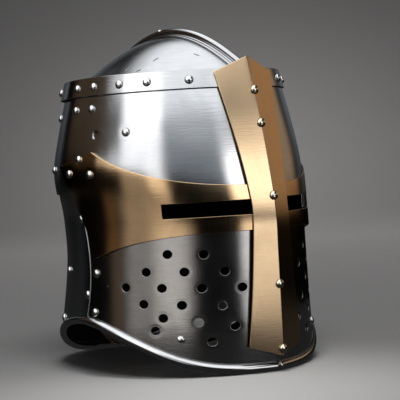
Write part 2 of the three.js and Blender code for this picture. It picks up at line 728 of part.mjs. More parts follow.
function buckleFrame() {
  const sideBar = (y) => {
    const outline = [[BUCKLE.hinge, -1], [BUCKLE.far, -1], [BUCKLE.far, 1], [BUCKLE.hinge, 1]];
    return acrossStrap(outline.map(([angle, n]) => strapPoint(angle, n * BUCKLE.bar)), 2 * BUCKLE.bar)
      .translate(0, y, 0);
  };
  return join([
    crossBar(BUCKLE.hinge, BUCKLE.bar, 2 * BUCKLE.halfWidth),
    crossBar(BUCKLE.far, BUCKLE.bar, 2 * BUCKLE.halfWidth),
    sideBar(BUCKLE.halfWidth - BUCKLE.bar),
    sideBar(BUCKLE.bar - BUCKLE.halfWidth),
  ]);
}
add('buckle_frame', buckleFrame(), brass);

// the prong: an eye round the hinge bar, and a shank that tapers to rest on the far bar
const PRONG = { eyeWall: 1.4, tip: BUCKLE.far - 1.5, tipHalf: 0.9, rest: BUCKLE.bar + GAP + 1.2 };
function buckleProng() {
  const eye = crossBar(BUCKLE.hinge, BUCKLE.bar + GAP + PRONG.eyeWall, BUCKLE.prongWidth);
  const shank = acrossStrap([
    strapPoint(BUCKLE.hinge - 1.4, 0.4),
    strapPoint(PRONG.tip, PRONG.rest - PRONG.tipHalf),
    strapPoint(PRONG.tip, PRONG.rest + PRONG.tipHalf),
    strapPoint(BUCKLE.hinge - 1, 3),
  ], BUCKLE.prongWidth);
  return cut(join([eye, shank]), [barHole]);
}
add('buckle_prong', buckleProng(), brass);

// each strap turns on a rivet: head outside the plate, shank through plate and leather, burr inside
const STRAP_RIVET = { shankRadius: 2, burrRadius: 4, burrThick: 1.3, overlap: 1 };
function strapRivet(side) {
  const { shankRadius, burrRadius, burrThick, overlap } = STRAP_RIVET;
  const face = Math.abs(pivot.x);
  const seat = new THREE.Vector3(side * face, pivot.y, STRAP.pivotZ);
  const head = rivetHead(seat, new THREE.Vector3(side, 0, 0));
  const burr = STRAP.halfSpan - STRAP.thick / 2 - GAP;
  const shank = pivotPeg(side, shankRadius, burr - overlap, face + overlap);
  return join([head, shank, pivotPeg(side, burrRadius, burr - burrThick, burr)]);
}
add('strap_rivet_right', strapRivet(-1), brightSteel);
add('strap_rivet_left', strapRivet(1), brightSteel);

export default helm;
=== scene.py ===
"""The looks of a knight's great helm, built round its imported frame. Metres, +Z up, the face along -Y."""

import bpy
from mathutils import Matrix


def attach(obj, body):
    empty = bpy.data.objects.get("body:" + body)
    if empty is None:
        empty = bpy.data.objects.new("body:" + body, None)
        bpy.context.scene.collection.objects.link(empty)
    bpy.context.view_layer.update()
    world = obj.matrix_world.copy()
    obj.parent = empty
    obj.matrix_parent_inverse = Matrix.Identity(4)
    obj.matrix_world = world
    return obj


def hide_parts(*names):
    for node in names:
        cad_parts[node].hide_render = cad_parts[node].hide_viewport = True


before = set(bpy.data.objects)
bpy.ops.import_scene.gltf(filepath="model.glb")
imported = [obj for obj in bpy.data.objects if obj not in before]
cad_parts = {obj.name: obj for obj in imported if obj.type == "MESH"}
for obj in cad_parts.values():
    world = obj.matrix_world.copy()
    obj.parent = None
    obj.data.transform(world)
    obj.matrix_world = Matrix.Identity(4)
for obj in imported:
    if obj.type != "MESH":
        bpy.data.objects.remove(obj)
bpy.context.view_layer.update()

import math

import bpy
import numpy as np
from mathutils import Matrix, Vector
from mathutils.geometry import delaunay_2d_cdt

MM = 0.001  # lengths below are in millimetres unless a name says otherwise

# ---- the shell, as the frame's plates follow it ----

# height, half width, keel distance in front, distance behind
SHELL_LEVELS = np.array([
    (0, 121.5, 145, 157),
    (50, 120, 145, 146),
    (85, 118.5, 145, 133),
    (115, 117.5, 145, 126),
    (150, 116.5, 145, 132),
    (203, 117, 137.5, 148.5),
    (240, 110.5, 130, 139.5),
    (292, 98, 117.5, 125.5),
    (306, 94.5, 114, 122),
], float)
WIDEST_Y = -5
KEEL_SHARPNESS = 0.2
STEEL = 1.6
LAYER = 2.2
PER_DEGREE = 2.0  # about how many millimetres of plate a degree of bearing covers

FRONT_ROLL, BACK_ROLL = 4.6, 3.9
RIM_RISE, RIM_TOP_BEARING, RIM_FLAT = 49, 95, 3
SEAM_FOOT = 90.4
BAND = (273, 291.4)
SLOT = (46.5, 151.5, 165.5)  # its end's bearing, its lower and its upper edge
SLOT_GAP = 0.6  # how far the plates behind stop short of it, in degrees and in millimetres
KEEL_GAP = 0.12  # in degrees
LOWER_FRONT_TOP, UPPER_FRONT_FOOT, PLATES_TOP = 176, 141, 290
CAP = {"half_width": 80, "half_length": 126, "middle_y": 5.5, "base": 287.5, "rise": 47, "power": 1.1}
ARM = {"start": 1.5, "top": 179.2, "bottom": 136.8, "peak": (81, 218.3), "rear": (105.5, 206),
       "low": (80.8, 115.2)}
NASAL = {"waist": 22, "waist_z": 160, "bottom": (14.5, 25.5), "top": (304, 289.5), "edge": 9.1,
         "ridge": 10.8, "thick": 2.0}
BREATH_RADIUS = 4.2
BREATH_ROWS = [  # first bearing, step, count, first height, rise per degree
    (30, 15.6, 2, 116.4, 0.1),
    (21.4, 17.1, 3, 99.6, 0.06),
    (14.2, 17.2, 4, 83.2, 0.08),
    (23, 17.1, 3, 67.3, 0.11),
    (18, 15.2, 3, 47.1, 0.34),
    (27.8, 24.3, 2, 33.4, 0.5),
]


def eased(t, start, end, leaving, arriving):
    """A cubic from start to end, with its slopes at both."""
    return ((2 * t**3 - 3 * t**2 + 1) * start + (t**3 - 2 * t**2 + t) * leaving
            + (3 * t**2 - 2 * t**3) * end + (t**3 - t**2) * arriving)


def level(z, column):
    """A smooth curve through one column of the shell's levels."""
    heights, values = SHELL_LEVELS[:, 0], SHELL_LEVELS[:, column]
    slopes = np.gradient(values, heights)
    z = np.asarray(z, float)
    i = np.clip(np.searchsorted(heights, z) - 1, 0, len(heights) - 2)
    span = heights[i + 1] - heights[i]
    t = (z - heights[i]) / span
    return eased(t, values[i], values[i + 1], span * slopes[i], span * slopes[i + 1])


def shell_point(bearing, z):
    """A point of the shell: part of an ellipse cut off at a blunt keel in front, half of one behind."""
    bearing, z = np.broadcast_arrays(np.asarray(bearing, float), np.asarray(z, float))
    bearing = np.where(bearing > 180, bearing - 360, bearing)
    side = np.where(bearing >= 0, -1.0, 1.0)
    b = np.abs(bearing)
    half_width = level(z, 1)
    start = math.asin(KEEL_SHARPNESS)
    wide = half_width / (1 - KEEL_SHARPNESS)
    t = np.where(b <= 90, start + (math.pi / 2 - start) * b / 90, np.radians(b))
    long_front = (level(z, 2) + WIDEST_Y) / math.cos(start)
    long_back = level(z, 3) - WIDEST_Y
    x = np.where(b <= 90, wide * np.sin(t) - (wide - half_width), half_width * np.sin(t))
    y = WIDEST_Y - np.where(b <= 90, long_front, long_back) * np.cos(t)
    return np.stack([side * x, y, z], -1)


def unit(v):
    return v / np.maximum(np.linalg.norm(v, axis=-1, keepdims=True), 1e-12)


def shell_normal(bearing, z):
    step = 0.2
    b = np.asarray(bearing, float)
    b = np.where(np.abs(b) < step, np.where(b < 0, -step, step), b)
    along = shell_point(b - step * 0.9, z) - shell_point(b + step * 0.9, z)
    up = shell_point(b, z + 0.5) - shell_point(b, z - 0.5)
    return unit(np.cross(along, up))


def on_shell(bearing, z, offset):
    """A point off the shell. On the keel itself the offset is mitred, so that both sides meet."""
    bearing, z, offset = np.broadcast_arrays(*(np.asarray(v, float) for v in (bearing, z, offset)))
    normal = shell_normal(bearing, z)
    mitred = normal * np.array([0.0, 1.0, 1.0])
    mitred = mitred / np.maximum((mitred**2).sum(-1, keepdims=True), 1e-9)
    normal = np.where(np.abs(bearing)[..., None] < 1e-6, mitred, normal)
    return shell_point(bearing, z) + normal * offset[..., None]


def rim_height(bearing, radius):
    """The rolled rim's middle: low at the face and the nape, and humped over the shoulders."""
    b = np.abs(np.where(np.asarray(bearing) > 180, 360 - np.asarray(bearing), bearing))
    front = np.clip((b - RIM_FLAT) / (RIM_TOP_BEARING - RIM_FLAT), 0, 1)
    back = np.clip((180 - RIM_FLAT - b) / (180 - RIM_FLAT - RIM_TOP_BEARING), 0, 1)
    hump = np.where(b <= RIM_TOP_BEARING, np.sin(front * math.pi / 2) ** 3,
                    np.sin(back * math.pi / 2) ** 2.2)
    return radius + RIM_RISE * hump


def foot_height(bearing, radius):
    """The lower edge of a plate, which tucks against the rolled rim."""
    a = shell_point(bearing - 1, rim_height(bearing - 1, radius))
    b = shell_point(bearing + 1, rim_height(bearing + 1, radius))
    slope = (b - a)[..., 2] / np.hypot((b - a)[..., 0], (b - a)[..., 1])
    return rim_height(bearing, radius) + (radius + 0.1) * np.hypot(1, slope)


def lower_seam(z):
    """The bearing of the lower front plate's rear edge."""
    z = np.asarray(z, float)
    return np.where(z < 60, SEAM_FOOT, 87.3 + 0.0017 * (z - 103) ** 2)


def arm_end(z):
    """The bearing of the brass arm's rear end, a slanting line."""
    (low_b, low_z), (rear_b, rear_z) = ARM["low"], ARM["rear"]
    return low_b + (rear_b - low_b) * (np.asarray(z, float) - low_z) / (rear_z - low_z)


def upper_seam(z):
    """The bearing of the upper front plate's rear edge, just inside the arm's end and then up to the rim."""
    z = np.asarray(z, float)
    rear_b, rear_z = ARM["rear"]
    above = rear_b - 0.6 + (101 - rear_b + 0.6) * (z - rear_z) / 84
    return np.where(z < rear_z, arm_end(z) - 0.6, above)


# ---- meshes ----

def full_turn(count):
    """The angles of evenly spaced points round a circle."""
    return np.arange(count) * 2 * math.pi / count


def circle(u, v, radius, count=16):
    turns = full_turn(count)
    return np.stack([u + radius * np.cos(turns), v + radius * np.sin(turns)], -1)


def grid_faces(rows, columns, wrap=False):
    """Faces between closed rows of points; with wrap, also between the last row and the first."""
    return [[r * columns + k, r * columns + (k + 1) % columns,
             (r + 1) % rows * columns + (k + 1) % columns, (r + 1) % rows * columns + k]
            for r in range(rows if wrap else rows - 1) for k in range(columns)]


def end_faces(rows, columns):
    """The two faces that close such a tube of rows."""
    last = (rows - 1) * columns
    return [list(range(columns))[::-1], [last + k for k in range(columns)]]


def make_object(name, points, faces, material, normals=None, body="helm", dark_faces=()):
    """A smooth mesh from points in millimetres; normals, if given, are one per point."""
    mesh = bpy.data.meshes.new(name)
    mesh.from_pydata((np.asarray(points) * MM).tolist(), [], [list(map(int, f)) for f in faces])
    mesh.update()
    mesh.polygons.foreach_set("use_smooth", [True] * len(mesh.polygons))
    if normals is not None:
        mesh.normals_split_custom_set_from_vertices(unit(np.asarray(normals)).tolist())
    obj = bpy.data.objects.new(name, mesh)
    bpy.context.scene.collection.objects.link(obj)
    obj.data.materials.append(material)
    # dark_faces take the dark steel that stands for painted shade
    if len(dark_faces):
        obj.data.materials.append(painted_shade)
        for i in dark_faces:
            mesh.polygons[i].material_index = 1
    if body:
        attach(obj, body)
    return obj


def stands_for(obj, nodes):
    for node in nodes:
        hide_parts(node)
    return obj


def resample(loop, spacing):
    """A closed loop with points added, so that none of its edges is longer than spacing."""
    out = []
    for a, b in zip(loop, np.roll(loop, -1, axis=0)):
        count = max(1, math.ceil(np.hypot(*(b - a)) / spacing))
        out.extend(a + (b - a) * k / count for k in range(count))
    return np.array(out)


def signed_area(loop):
    x, y = loop[:, 0], loop[:, 1]
    return 0.5 * np.sum(x * np.roll(y, -1) - np.roll(x, -1) * y)


def inside(points, loop):
    """Which points lie in a closed loop."""
    result = np.zeros(len(points), bool)
    for (x1, y1), (x2, y2) in zip(loop, np.roll(loop, -1, axis=0)):
        crosses = (y1 > points[:, 1]) != (y2 > points[:, 1])
        if y1 != y2:
            result ^= crosses & (points[:, 0] < (x2 - x1) * (points[:, 1] - y1) / (y2 - y1) + x1)
    return result


def in_any(points, loops):
    """Which points lie in any of some closed loops."""
    result = np.zeros(len(points), bool)
    for loop in loops:
        result |= inside(points, loop)
    return result


def far_from(points, others, distance):
    """Which points are further than distance from all the others."""
    keep = np.ones(len(points), bool)
    for start in range(0, len(others), 400):
        block = others[start:start + 400]
        gap = np.hypot(*np.moveaxis(points[:, None] - block[None], -1, 0))
        keep &= gap.min(1) > distance
    return keep


def hex_grid(low, high, spacing):
    rows = np.arange(low[1], high[1], spacing * 0.866)
    return np.array([(x, y) for k, y in enumerate(rows)
                     for x in np.arange(low[0] + (k % 2) * spacing / 2, high[0], spacing)])


EDGE_STEPS = (0, 25, 50, 75, 90)
WALL_RING = len(EDGE_STEPS) - 1  # from this ring on, a hole's wall takes the dark steel of painted shade


def sheet_object(name, place, outline, holes, material, thick=STEEL, spacing=3.5, edge=0.35, extra=(),
                 body="helm", paint_shade=True, hole_edge=0.3):
    """A sheet of metal or leather with rounded edges.

    place takes (u, v) rows, u to the right and v up as seen from outside, and gives points and normals.
    outline and holes are closed loops in u and v. extra are further points that the faces must use."""
    loops = [outline if signed_area(outline) > 0 else outline[::-1]]
    loops += [h if signed_area(h) < 0 else h[::-1] for h in holes]
    border = np.concatenate(loops)
    grid = hex_grid(border.min(0), border.max(0), spacing)
    if len(extra):
        extra = np.asarray(extra, float)
        grid = np.concatenate([extra, grid[far_from(grid, extra, spacing * 0.45)]])
    grid = grid[inside(grid, loops[0]) & ~in_any(grid, loops[1:])]
    fine_border = np.concatenate([resample(loop, 0.8) for loop in loops])
    grid = grid[far_from(grid, fine_border, edge + 0.35)]
    near = far_from(grid, border, spacing * 0.4)
    if len(extra):
        near |= ~far_from(grid, extra, 1e-4)
    grid = grid[near]
    flat = np.concatenate([border, grid])
    ends = np.cumsum([len(loop) for loop in loops]).tolist()
    spans = [(end - len(loop), end) for loop, end in zip(loops, ends)]
    following, previous = (np.concatenate([np.roll(np.arange(*span), way) for span in spans])
                           for way in (-1, 1))
    links = list(enumerate(following.tolist()))
    _, _, triangles, origin, _, _ = delaunay_2d_cdt([Vector(p) for p in flat], links, [], 1, 1e-6)
    source = [o[0] if o else -1 for o in origin]
    triangles = [[source[i] for i in t] for t in triangles if all(source[i] >= 0 for i in t)]
    kept = ~in_any(flat[np.array(triangles)].mean(1), loops[1:])
    triangles = [t if signed_area(flat[t]) > 0 else t[::-1] for t, k in zip(triangles, kept) if k]

    base, normal = place(flat)
    n_border = len(border)
    edge_base, edge_normal = base[:n_border], normal[:n_border]
    inward = unit(np.cross(edge_normal, unit(base[following] - base[previous])))
    rings, ring_normals = [], []
    radius = np.full((n_border, 1), min(edge, thick / 2))
    radius[len(loops[0]):] = hole_edge
    for sign, top in ((1, 0.0), (-1, -thick)):
        steps = EDGE_STEPS if sign == 1 else EDGE_STEPS[::-1]
        for degrees in steps:
            a = math.radians(degrees)
            inset, drop = radius * (1 - math.sin(a)), radius * (1 - math.cos(a))
            rings.append(edge_base + inward * inset + edge_normal * (top - sign * drop))
            ring_normals.append(edge_normal * sign * math.cos(a) - inward * math.sin(a))
    n_rings = len(rings)
    inner = n_border * n_rings
    points = np.concatenate(rings + [base[n_border:], base[n_border:] - normal[n_border:] * thick])
    normals = np.concatenate(ring_normals + [normal[n_border:], -normal[n_border:]])
    n_grid = len(grid)
    faces = []
    for t in triangles:
        faces.append([i if i < n_border else inner + i - n_border for i in t])
        faces.append([(n_rings - 1) * n_border + i if i < n_border else inner + n_grid + i - n_border
                      for i in reversed(t)])
    # the inner faces, and below them the holes' walls, take the dark steel of painted shade
    dark_faces = list(range(1, len(faces), 2)) if paint_shade else []
    for first, end in spans:
        for r in range(n_rings - 1):
            for a in range(first, end):
                if paint_shade and first and r >= WALL_RING:
                    dark_faces.append(len(faces))
                here, beyond = r * n_border, (r + 1) * n_border
                b = following[a]
                faces.append([here + b, here + a, beyond + a, beyond + b])
    return make_object(name, points, faces, material, normals, body, dark_faces)


def tube_object(name, centres, across, upward, radius, material, sides=24):
    """A round bar along centres with slightly rounded ends."""
    turns = full_turn(sides)
    ends = ((0, 0.55), (0.35, 0.9), (1.0, 1.0))
    inset = radius * 0.12
    step_in, step_out = unit(centres[1] - centres[0]), unit(centres[-1] - centres[-2])
    stations = [(centres[0] + step_in * inset * a, across[0], upward[0], b) for a, b in ends]
    stations += [(c, s, u, 1.0) for c, s, u in zip(centres[1:-1], across[1:-1], upward[1:-1])]
    stations += [(centres[-1] - step_out * inset * a, across[-1], upward[-1], b) for a, b in ends[::-1]]
    rings = [c + radius * scale * (np.cos(turns)[:, None] * s + np.sin(turns)[:, None] * u)
             for c, s, u, scale in stations]
    faces = grid_faces(len(rings), sides) + end_faces(len(rings), sides)
    return make_object(name, np.concatenate(rings), faces, material)


# ---- materials ----

class Nodes:
    """Short calls for building one node material."""

    def __init__(self, name):
        self.material = bpy.data.materials.new(name)
        self.material.use_nodes = True
        self.tree = self.material.node_tree
        self.shader = self.tree.nodes["Principled BSDF"]
        self.place = self.node("TexCoord").outputs["Object"]

    def link(self, source, socket):
        """Join a socket to another one, or give it a number, a vector or a colour."""
        if isinstance(source, bpy.types.NodeSocket):
            self.tree.links.new(source, socket)
        else:
            socket.default_value = (*source, 1.0) if socket.type == "RGBA" else source

    def node(self, kind, **inputs):
        """A new node, with its inputs by name, an underscore for a space."""
        node = self.tree.nodes.new("ShaderNode" + kind)
        for name, value in inputs.items():
            self.link(value, node.inputs[name.replace("_", " ")])
        return node

    def set(self, **inputs):
        for name, value in inputs.items():
            self.link(value, self.shader.inputs[name.replace("_", " ")])
        return self.material

    def mapped(self, scale, rotation=(0, 0, 0), location=(0, 0, 0)):
        node = self.node("Mapping", Scale=scale, Rotation=rotation, Location=location, Vector=self.place)
        return node.outputs["Vector"]

    def noise(self, vector, scale=1.0, detail=3.0, roughness=0.55, distortion=0.0):
        return self.node("TexNoise", Scale=scale, Detail=detail, Roughness=roughness, Distortion=distortion,
                         Vector=vector).outputs["Fac"]

    def cells(self, vector, scale):
        node = self.node("TexVoronoi", Scale=scale, Vector=vector)
        return node.outputs["Distance"], node.outputs["Color"]

    def ramp(self, value, low, high, to_low=0.0, to_high=1.0, smooth=False):
        """to_low before low, to_high past high, straight or smooth between; low may be the greater."""
        node = self.node("MapRange", Value=value, From_Min=low, From_Max=high, To_Min=to_low, To_Max=to_high)
        node.interpolation_type = "SMOOTHSTEP" if smooth else "LINEAR"
        return node.outputs["Result"]

    def operate(self, kind, operation, *values):
        node = self.node(kind)
        node.operation = operation
        for value, socket in zip(values, node.inputs):
            self.link(value, socket)
        return node.outputs

    def math(self, operation, a, b=0.0):
        return self.operate("Math", operation, a, b)[0]

    def vector(self, operation, a, b):
        outputs = self.operate("VectorMath", operation, a, b)
        return outputs["Value" if operation == "DOT_PRODUCT" else "Vector"]

    def mix(self, factor, a, b):
        node = self.node("Mix")
        node.data_type = "RGBA"
        for value, socket in ((factor, 0), (a, 6), (b, 7)):
            self.link(value, node.inputs[socket])
        return node.outputs[2]

    def bump(self, height, strength, distance, below=None):
        node = self.node("Bump", Strength=strength, Distance=distance, Height=height)
        if below is not None:
            self.link(below, node.inputs["Normal"])
        return node.outputs["Normal"]

    def towards(self, direction, start):
        """How far the surface lies from start along a direction, in metres."""
        away = Vector(direction).dot(Vector(start))
        return self.math("SUBTRACT", self.vector("DOT_PRODUCT", self.place, direction), away)

    def near_line(self, start, end, reach):
        """1 on the line from start to end as seen from above, falling to 0 at reach; all in millimetres."""
        start, end = Vector(start + (0,)) * MM, Vector(end + (0,)) * MM
        along, length = (end - start).normalized(), (end - start).length

        level_place = self.vector("MULTIPLY", self.place, Vector((1, 1, 0)))
        away = self.vector("SUBTRACT", level_place, start + along * (length / 2))
        past = self.math("MULTIPLY", self.vector("DOT_PRODUCT", away, along), 2 / length)
        across = self.vector("CROSS_PRODUCT", away, along)
        across = self.vector("DOT_PRODUCT", across, across)
        thin = self.math("SUBTRACT", 1.0, self.math("DIVIDE", self.math("SQRT", across), reach * MM))
        taper = self.math("SUBTRACT", 1.0, self.math("MULTIPLY", past, past))
        return self.math("MULTIPLY", self.math("MAXIMUM", thin, 0.0), self.math("MAXIMUM", taper, 0.0))


def polished_metal(name, light, dark, roughness, brushing=0.5, wear=0.5, seed=0.0, nicks=()):
    """Polished plate: faint brushing round the helm, smears, hairline scratches and a few small pits.
    nicks are short cuts, each from a point to a point in millimetres."""
    pit_colour, nick_colour, nick_width = (0.03, 0.025, 0.02), (0.03, 0.03, 0.03), 0.9
    n = Nodes(name)
    offset = (seed, seed * 0.7, seed * 1.3)
    smear = n.noise(n.mapped((18, 18, 12), location=offset), detail=4, roughness=0.6, distortion=0.6)
    fine = n.noise(n.mapped((60, 60, 1500), location=offset), detail=2)
    coarse = n.noise(n.mapped((22, 22, 420), location=offset), detail=3)
    scratch_a = n.noise(n.mapped((1600, 20, 60), rotation=(0.5, 0.3, 0.9), location=offset), detail=0)
    scratch_b = n.noise(n.mapped((30, 60, 1900), rotation=(0.9, -0.4, 0.2), location=offset), detail=0)
    scratches = n.math("MAXIMUM", n.ramp(scratch_a, 0.74, 0.80), n.ramp(scratch_b, 0.75, 0.81))
    distance, cell = n.cells(n.mapped((1, 1, 1), location=offset), 55)
    lot = n.node("SeparateColor", Color=cell).outputs["Red"]
    rare = n.math("GREATER_THAN", lot, 1 - 0.12 * wear)
    pit = n.math("MULTIPLY", n.ramp(distance, 0.075, 0.045), rare)
    colour = n.mix(n.ramp(smear, 0.3, 0.75), light, dark)
    colour = n.mix(n.math("MULTIPLY", n.ramp(coarse, 0.35, 0.7), 0.35 * brushing), colour, dark)
    colour = n.mix(n.math("MULTIPLY", n.ramp(fine, 0.45, 0.75), 0.4 * brushing), colour,
                   tuple(0.72 * c for c in dark))
    colour = n.mix(n.math("MULTIPLY", pit, 0.85), colour, pit_colour)
    gloss = n.ramp(smear, 0.25, 0.8, roughness * 0.8, roughness * 1.35)
    gloss = n.math("ADD", gloss, n.math("MULTIPLY", scratches, 0.06 * wear))
    gloss = n.math("ADD", gloss, n.math("MULTIPLY", pit, 0.3))
    normal = n.bump(fine, 0.10 * brushing, 0.0004)
    normal = n.bump(coarse, 0.028 * brushing, 0.0009, normal)
    normal = n.bump(scratches, 0.04 * wear, 0.0003, normal)
    normal = n.bump(n.math("MULTIPLY", pit, -1.0), 0.6, 0.0006, normal)
    for start, end in nicks:
        cut = n.near_line(start, end, nick_width)
        colour = n.mix(n.math("MULTIPLY", cut, 0.8), colour, nick_colour)
        normal = n.bump(n.math("MULTIPLY", cut, -1.0), 1.0, 0.0009, normal)
    return n.set(Base_Color=colour, Metallic=1.0, Roughness=gloss, Normal=normal)


def oiled_leather(name, light, dark):
    n = Nodes(name)
    grain, _ = n.cells(n.mapped((1, 1, 1)), 900)
    mottle = n.noise(n.mapped((1, 1, 1)), scale=45, detail=4)
    colour = n.mix(n.ramp(mottle, 0.3, 0.75), light, dark)
    colour = n.mix(n.ramp(grain, 0.0, 0.35, 0.35, 0.0), colour, tuple(c * 0.45 for c in dark))
    normal = n.bump(grain, 0.35, 0.0004)
    normal = n.bump(mottle, 0.2, 0.0012, normal)
    return n.set(Base_Color=colour, Roughness=n.ramp(mottle, 0.2, 0.8, 0.42, 0.62), Normal=normal)


def painted_shade_steel():
    """Painted shade: a dark steel for the plates' and the dome's inner faces, the holes' walls and a ring
    round each rivet's foot.
    """
    n = Nodes("painted_shade")
    patchy = n.noise(n.mapped((1, 1, 1)), scale=40, detail=4)
    colour = n.mix(n.ramp(patchy, 0.3, 0.7), (0.022, 0.020, 0.019), (0.05, 0.044, 0.04))
    return n.set(Base_Color=colour, Metallic=0.6, Roughness=n.ramp(patchy, 0.3, 0.7, 0.5, 0.7))


def linen_thread():
    n = Nodes("waxed_thread")
    strands = n.noise(n.mapped((1, 1, 1)), scale=900, detail=2)
    colour = n.mix(n.ramp(strands, 0.3, 0.7), (0.42, 0.33, 0.22), (0.25, 0.185, 0.115))
    return n.set(Base_Color=colour, Roughness=0.62, Normal=n.bump(strands, 0.4, 0.0002))


painted_shade = painted_shade_steel()
# lighter, rougher steel for the seam's painted highlight
seam_highlight_steel = polished_metal("seam_highlight_steel", (0.80, 0.79, 0.77), (0.66, 0.65, 0.63), 0.40, 0.3, 0.2, 5.2)
waxed_thread = linen_thread()
front_steel = polished_metal("front_steel", (0.66, 0.67, 0.69), (0.55, 0.56, 0.585), 0.15, 0.6, 0.5, 0.0)
DOME_NICKS = [
    ((-52.5, -41.1), (-46.6, -43.4)),
    ((-24, -71.4), (-21.9, -78.2)),
    ((-66.2, -12.9), (-61.8, -17.4)),
    ((-66, -30.1), (-63.1, -34.8)),
]
dome_steel = polished_metal("dome_steel", (0.64, 0.65, 0.67), (0.53, 0.54, 0.56), 0.17, 0.5, 1.0, 3.1,
                            DOME_NICKS)
cheek_steel = polished_metal("cheek_steel", (0.60, 0.595, 0.59), (0.47, 0.465, 0.46), 0.15, 0.6, 0.6, 5.7)
back_steel = polished_metal("back_steel", (0.50, 0.505, 0.515), (0.40, 0.405, 0.415), 0.17, 0.7, 0.6, 9.3)
band_steel = polished_metal("band_steel", (0.66, 0.665, 0.68), (0.55, 0.555, 0.57), 0.14, 0.7, 0.4, 1.9)
roll_steel = polished_metal("roll_steel", (0.70, 0.70, 0.71), (0.56, 0.56, 0.57), 0.12, 0.4, 0.5, 7.7)
rivet_steel = polished_metal("rivet_steel", (0.86, 0.86, 0.86), (0.76, 0.76, 0.76), 0.13, 0.1, 0.1, 2.2)
brass = polished_metal("brass", (0.86, 0.62, 0.37), (0.70, 0.47, 0.26), 0.13, 0.5, 0.3, 4.4)
nasal_brass = polished_metal("nasal_brass", (0.88, 0.66, 0.42), (0.76, 0.54, 0.33), 0.17, 0.45, 0.25, 6.4)
brass_rivet = polished_metal("brass_rivet", (0.94, 0.87, 0.72), (0.84, 0.74, 0.56), 0.14, 0.1, 0.1, 8.1)
liner_leather = oiled_leather("liner_leather", (0.20, 0.115, 0.06), (0.10, 0.055, 0.03))
strap_leather = oiled_leather("strap_leather", (0.10, 0.055, 0.032), (0.045, 0.026, 0.016))


# ---- plates ----

def waviness(bearing, z, seed):
    """The slight unevenness that hand work leaves, in millimetres."""
    b = np.radians(bearing)
    return (0.11 * np.sin(5 * b + z / 37 + seed) * np.sin(z / 29 + 2 * b + 1.7 * seed)
            + 0.05 * np.sin(11 * b - z / 21 + 2.3 * seed) * np.cos(z / 17 + 3 * seed))


def relief(bearing, z, seed, spots):
    height = waviness(bearing, z, seed)
    for spot_b, spot_z, depth, reach, rim in spots:
        r = np.hypot((bearing - spot_b) * PER_DEGREE, z - spot_z)
        height = height - depth * np.exp(-(np.maximum(r - rim, 0) / reach) ** 2)
    return height


def skin(lift, seed=0.0, spots=()):
    """The placing function of a sheet whose outer face is lift off the shell."""
    def point(flat):
        bearing = -flat[:, 0] / PER_DEGREE
        return on_shell(bearing, flat[:, 1], lift + relief(bearing, flat[:, 1], seed, spots))

    def place(flat):
        step = 0.12
        at_keel = np.abs(flat[:, 0]) < 2 * step
        aside = flat + np.where(at_keel[:, None], np.array([[2 * step, 0]]), 0)
        right, left = (point(aside + np.array([[s * step, 0]])) for s in (1, -1))
        above, below = (point(aside + np.array([[0, s * step]])) for s in (1, -1))
        normal = unit(np.cross(right - left, above - below))
        normal[at_keel, 0] = 0
        return point(flat), unit(normal)
    return place


def placing(point, step_u, step_v):
    """The placing function of a sheet whose outer face is given by point."""
    def place(flat):
        across = point(flat + (step_u, 0)) - point(flat - (step_u, 0))
        upward = point(flat + (0, step_v)) - point(flat - (0, step_v))
        return point(flat), unit(np.cross(across, upward))
    return place


def domain(bearing, z):
    """Bearings and heights as u and v."""
    bearing, z = np.broadcast_arrays(np.asarray(bearing, float), np.asarray(z, float))
    return np.stack([-bearing * PER_DEGREE, z], -1)


def path(*parts):
    return np.concatenate([np.atleast_2d(p) for p in parts])


def breath_centres():
    return [(first + i * step, z + i * step * rise)
            for first, step, count, z, rise in BREATH_ROWS for i in range(count)]


def breath_circle(bearing, z, radius, count=28):
    return circle(-bearing * PER_DEGREE, z, radius, count)


SIDES = ((1, "right"), (-1, "left"))


def lower_front(side, word):
    seam_z = np.linspace(60, LOWER_FRONT_TOP, 40)
    foot_b = np.linspace(KEEL_GAP, SEAM_FOOT, 60)
    step_b, low = SLOT[0] + SLOT_GAP, SLOT[1] - SLOT_GAP
    top = domain(side * np.array([step_b, step_b, KEEL_GAP]), np.array([LOWER_FRONT_TOP, low, low]))
    outline = path(domain(side * foot_b, foot_height(foot_b, FRONT_ROLL)),
                   domain(side * lower_seam(seam_z), seam_z), top)
    centres = [(side * b, z) for b, z in breath_centres()]
    holes = [breath_circle(b, z, BREATH_RADIUS) for b, z in centres]
    rings = np.concatenate([breath_circle(b, z, BREATH_RADIUS + r, 20) for b, z in centres
                            for r in (0.9, 1.9, 3.2)])
    spots = [(b, z, 0.12, 1.8, BREATH_RADIUS) for b, z in centres]
    plate = sheet_object("cheek_plate_" + word, skin(LAYER, 1.3 + side, spots), resample(outline, 3), holes,
                         cheek_steel, edge=0.7, extra=rings)
    stands_for(plate, ["lower_front_plate_" + word])


def seam_edge(side, word):
    """The lower front plate's rear edge: a bead of lighter, rougher steel, a painted highlight along the
    seam.
    """
    z = np.arange(57, 150, 2.5)
    bearing = side * (lower_seam(z) + 0.15)
    centres = on_shell(bearing, z, LAYER - 0.35)
    across = unit(shell_point(bearing - side * 0.3, z) - shell_point(bearing + side * 0.3, z)) * side
    bead = tube_object("seam_edge_" + word, centres, across, shell_normal(bearing, z), 0.62, seam_highlight_steel, 10)


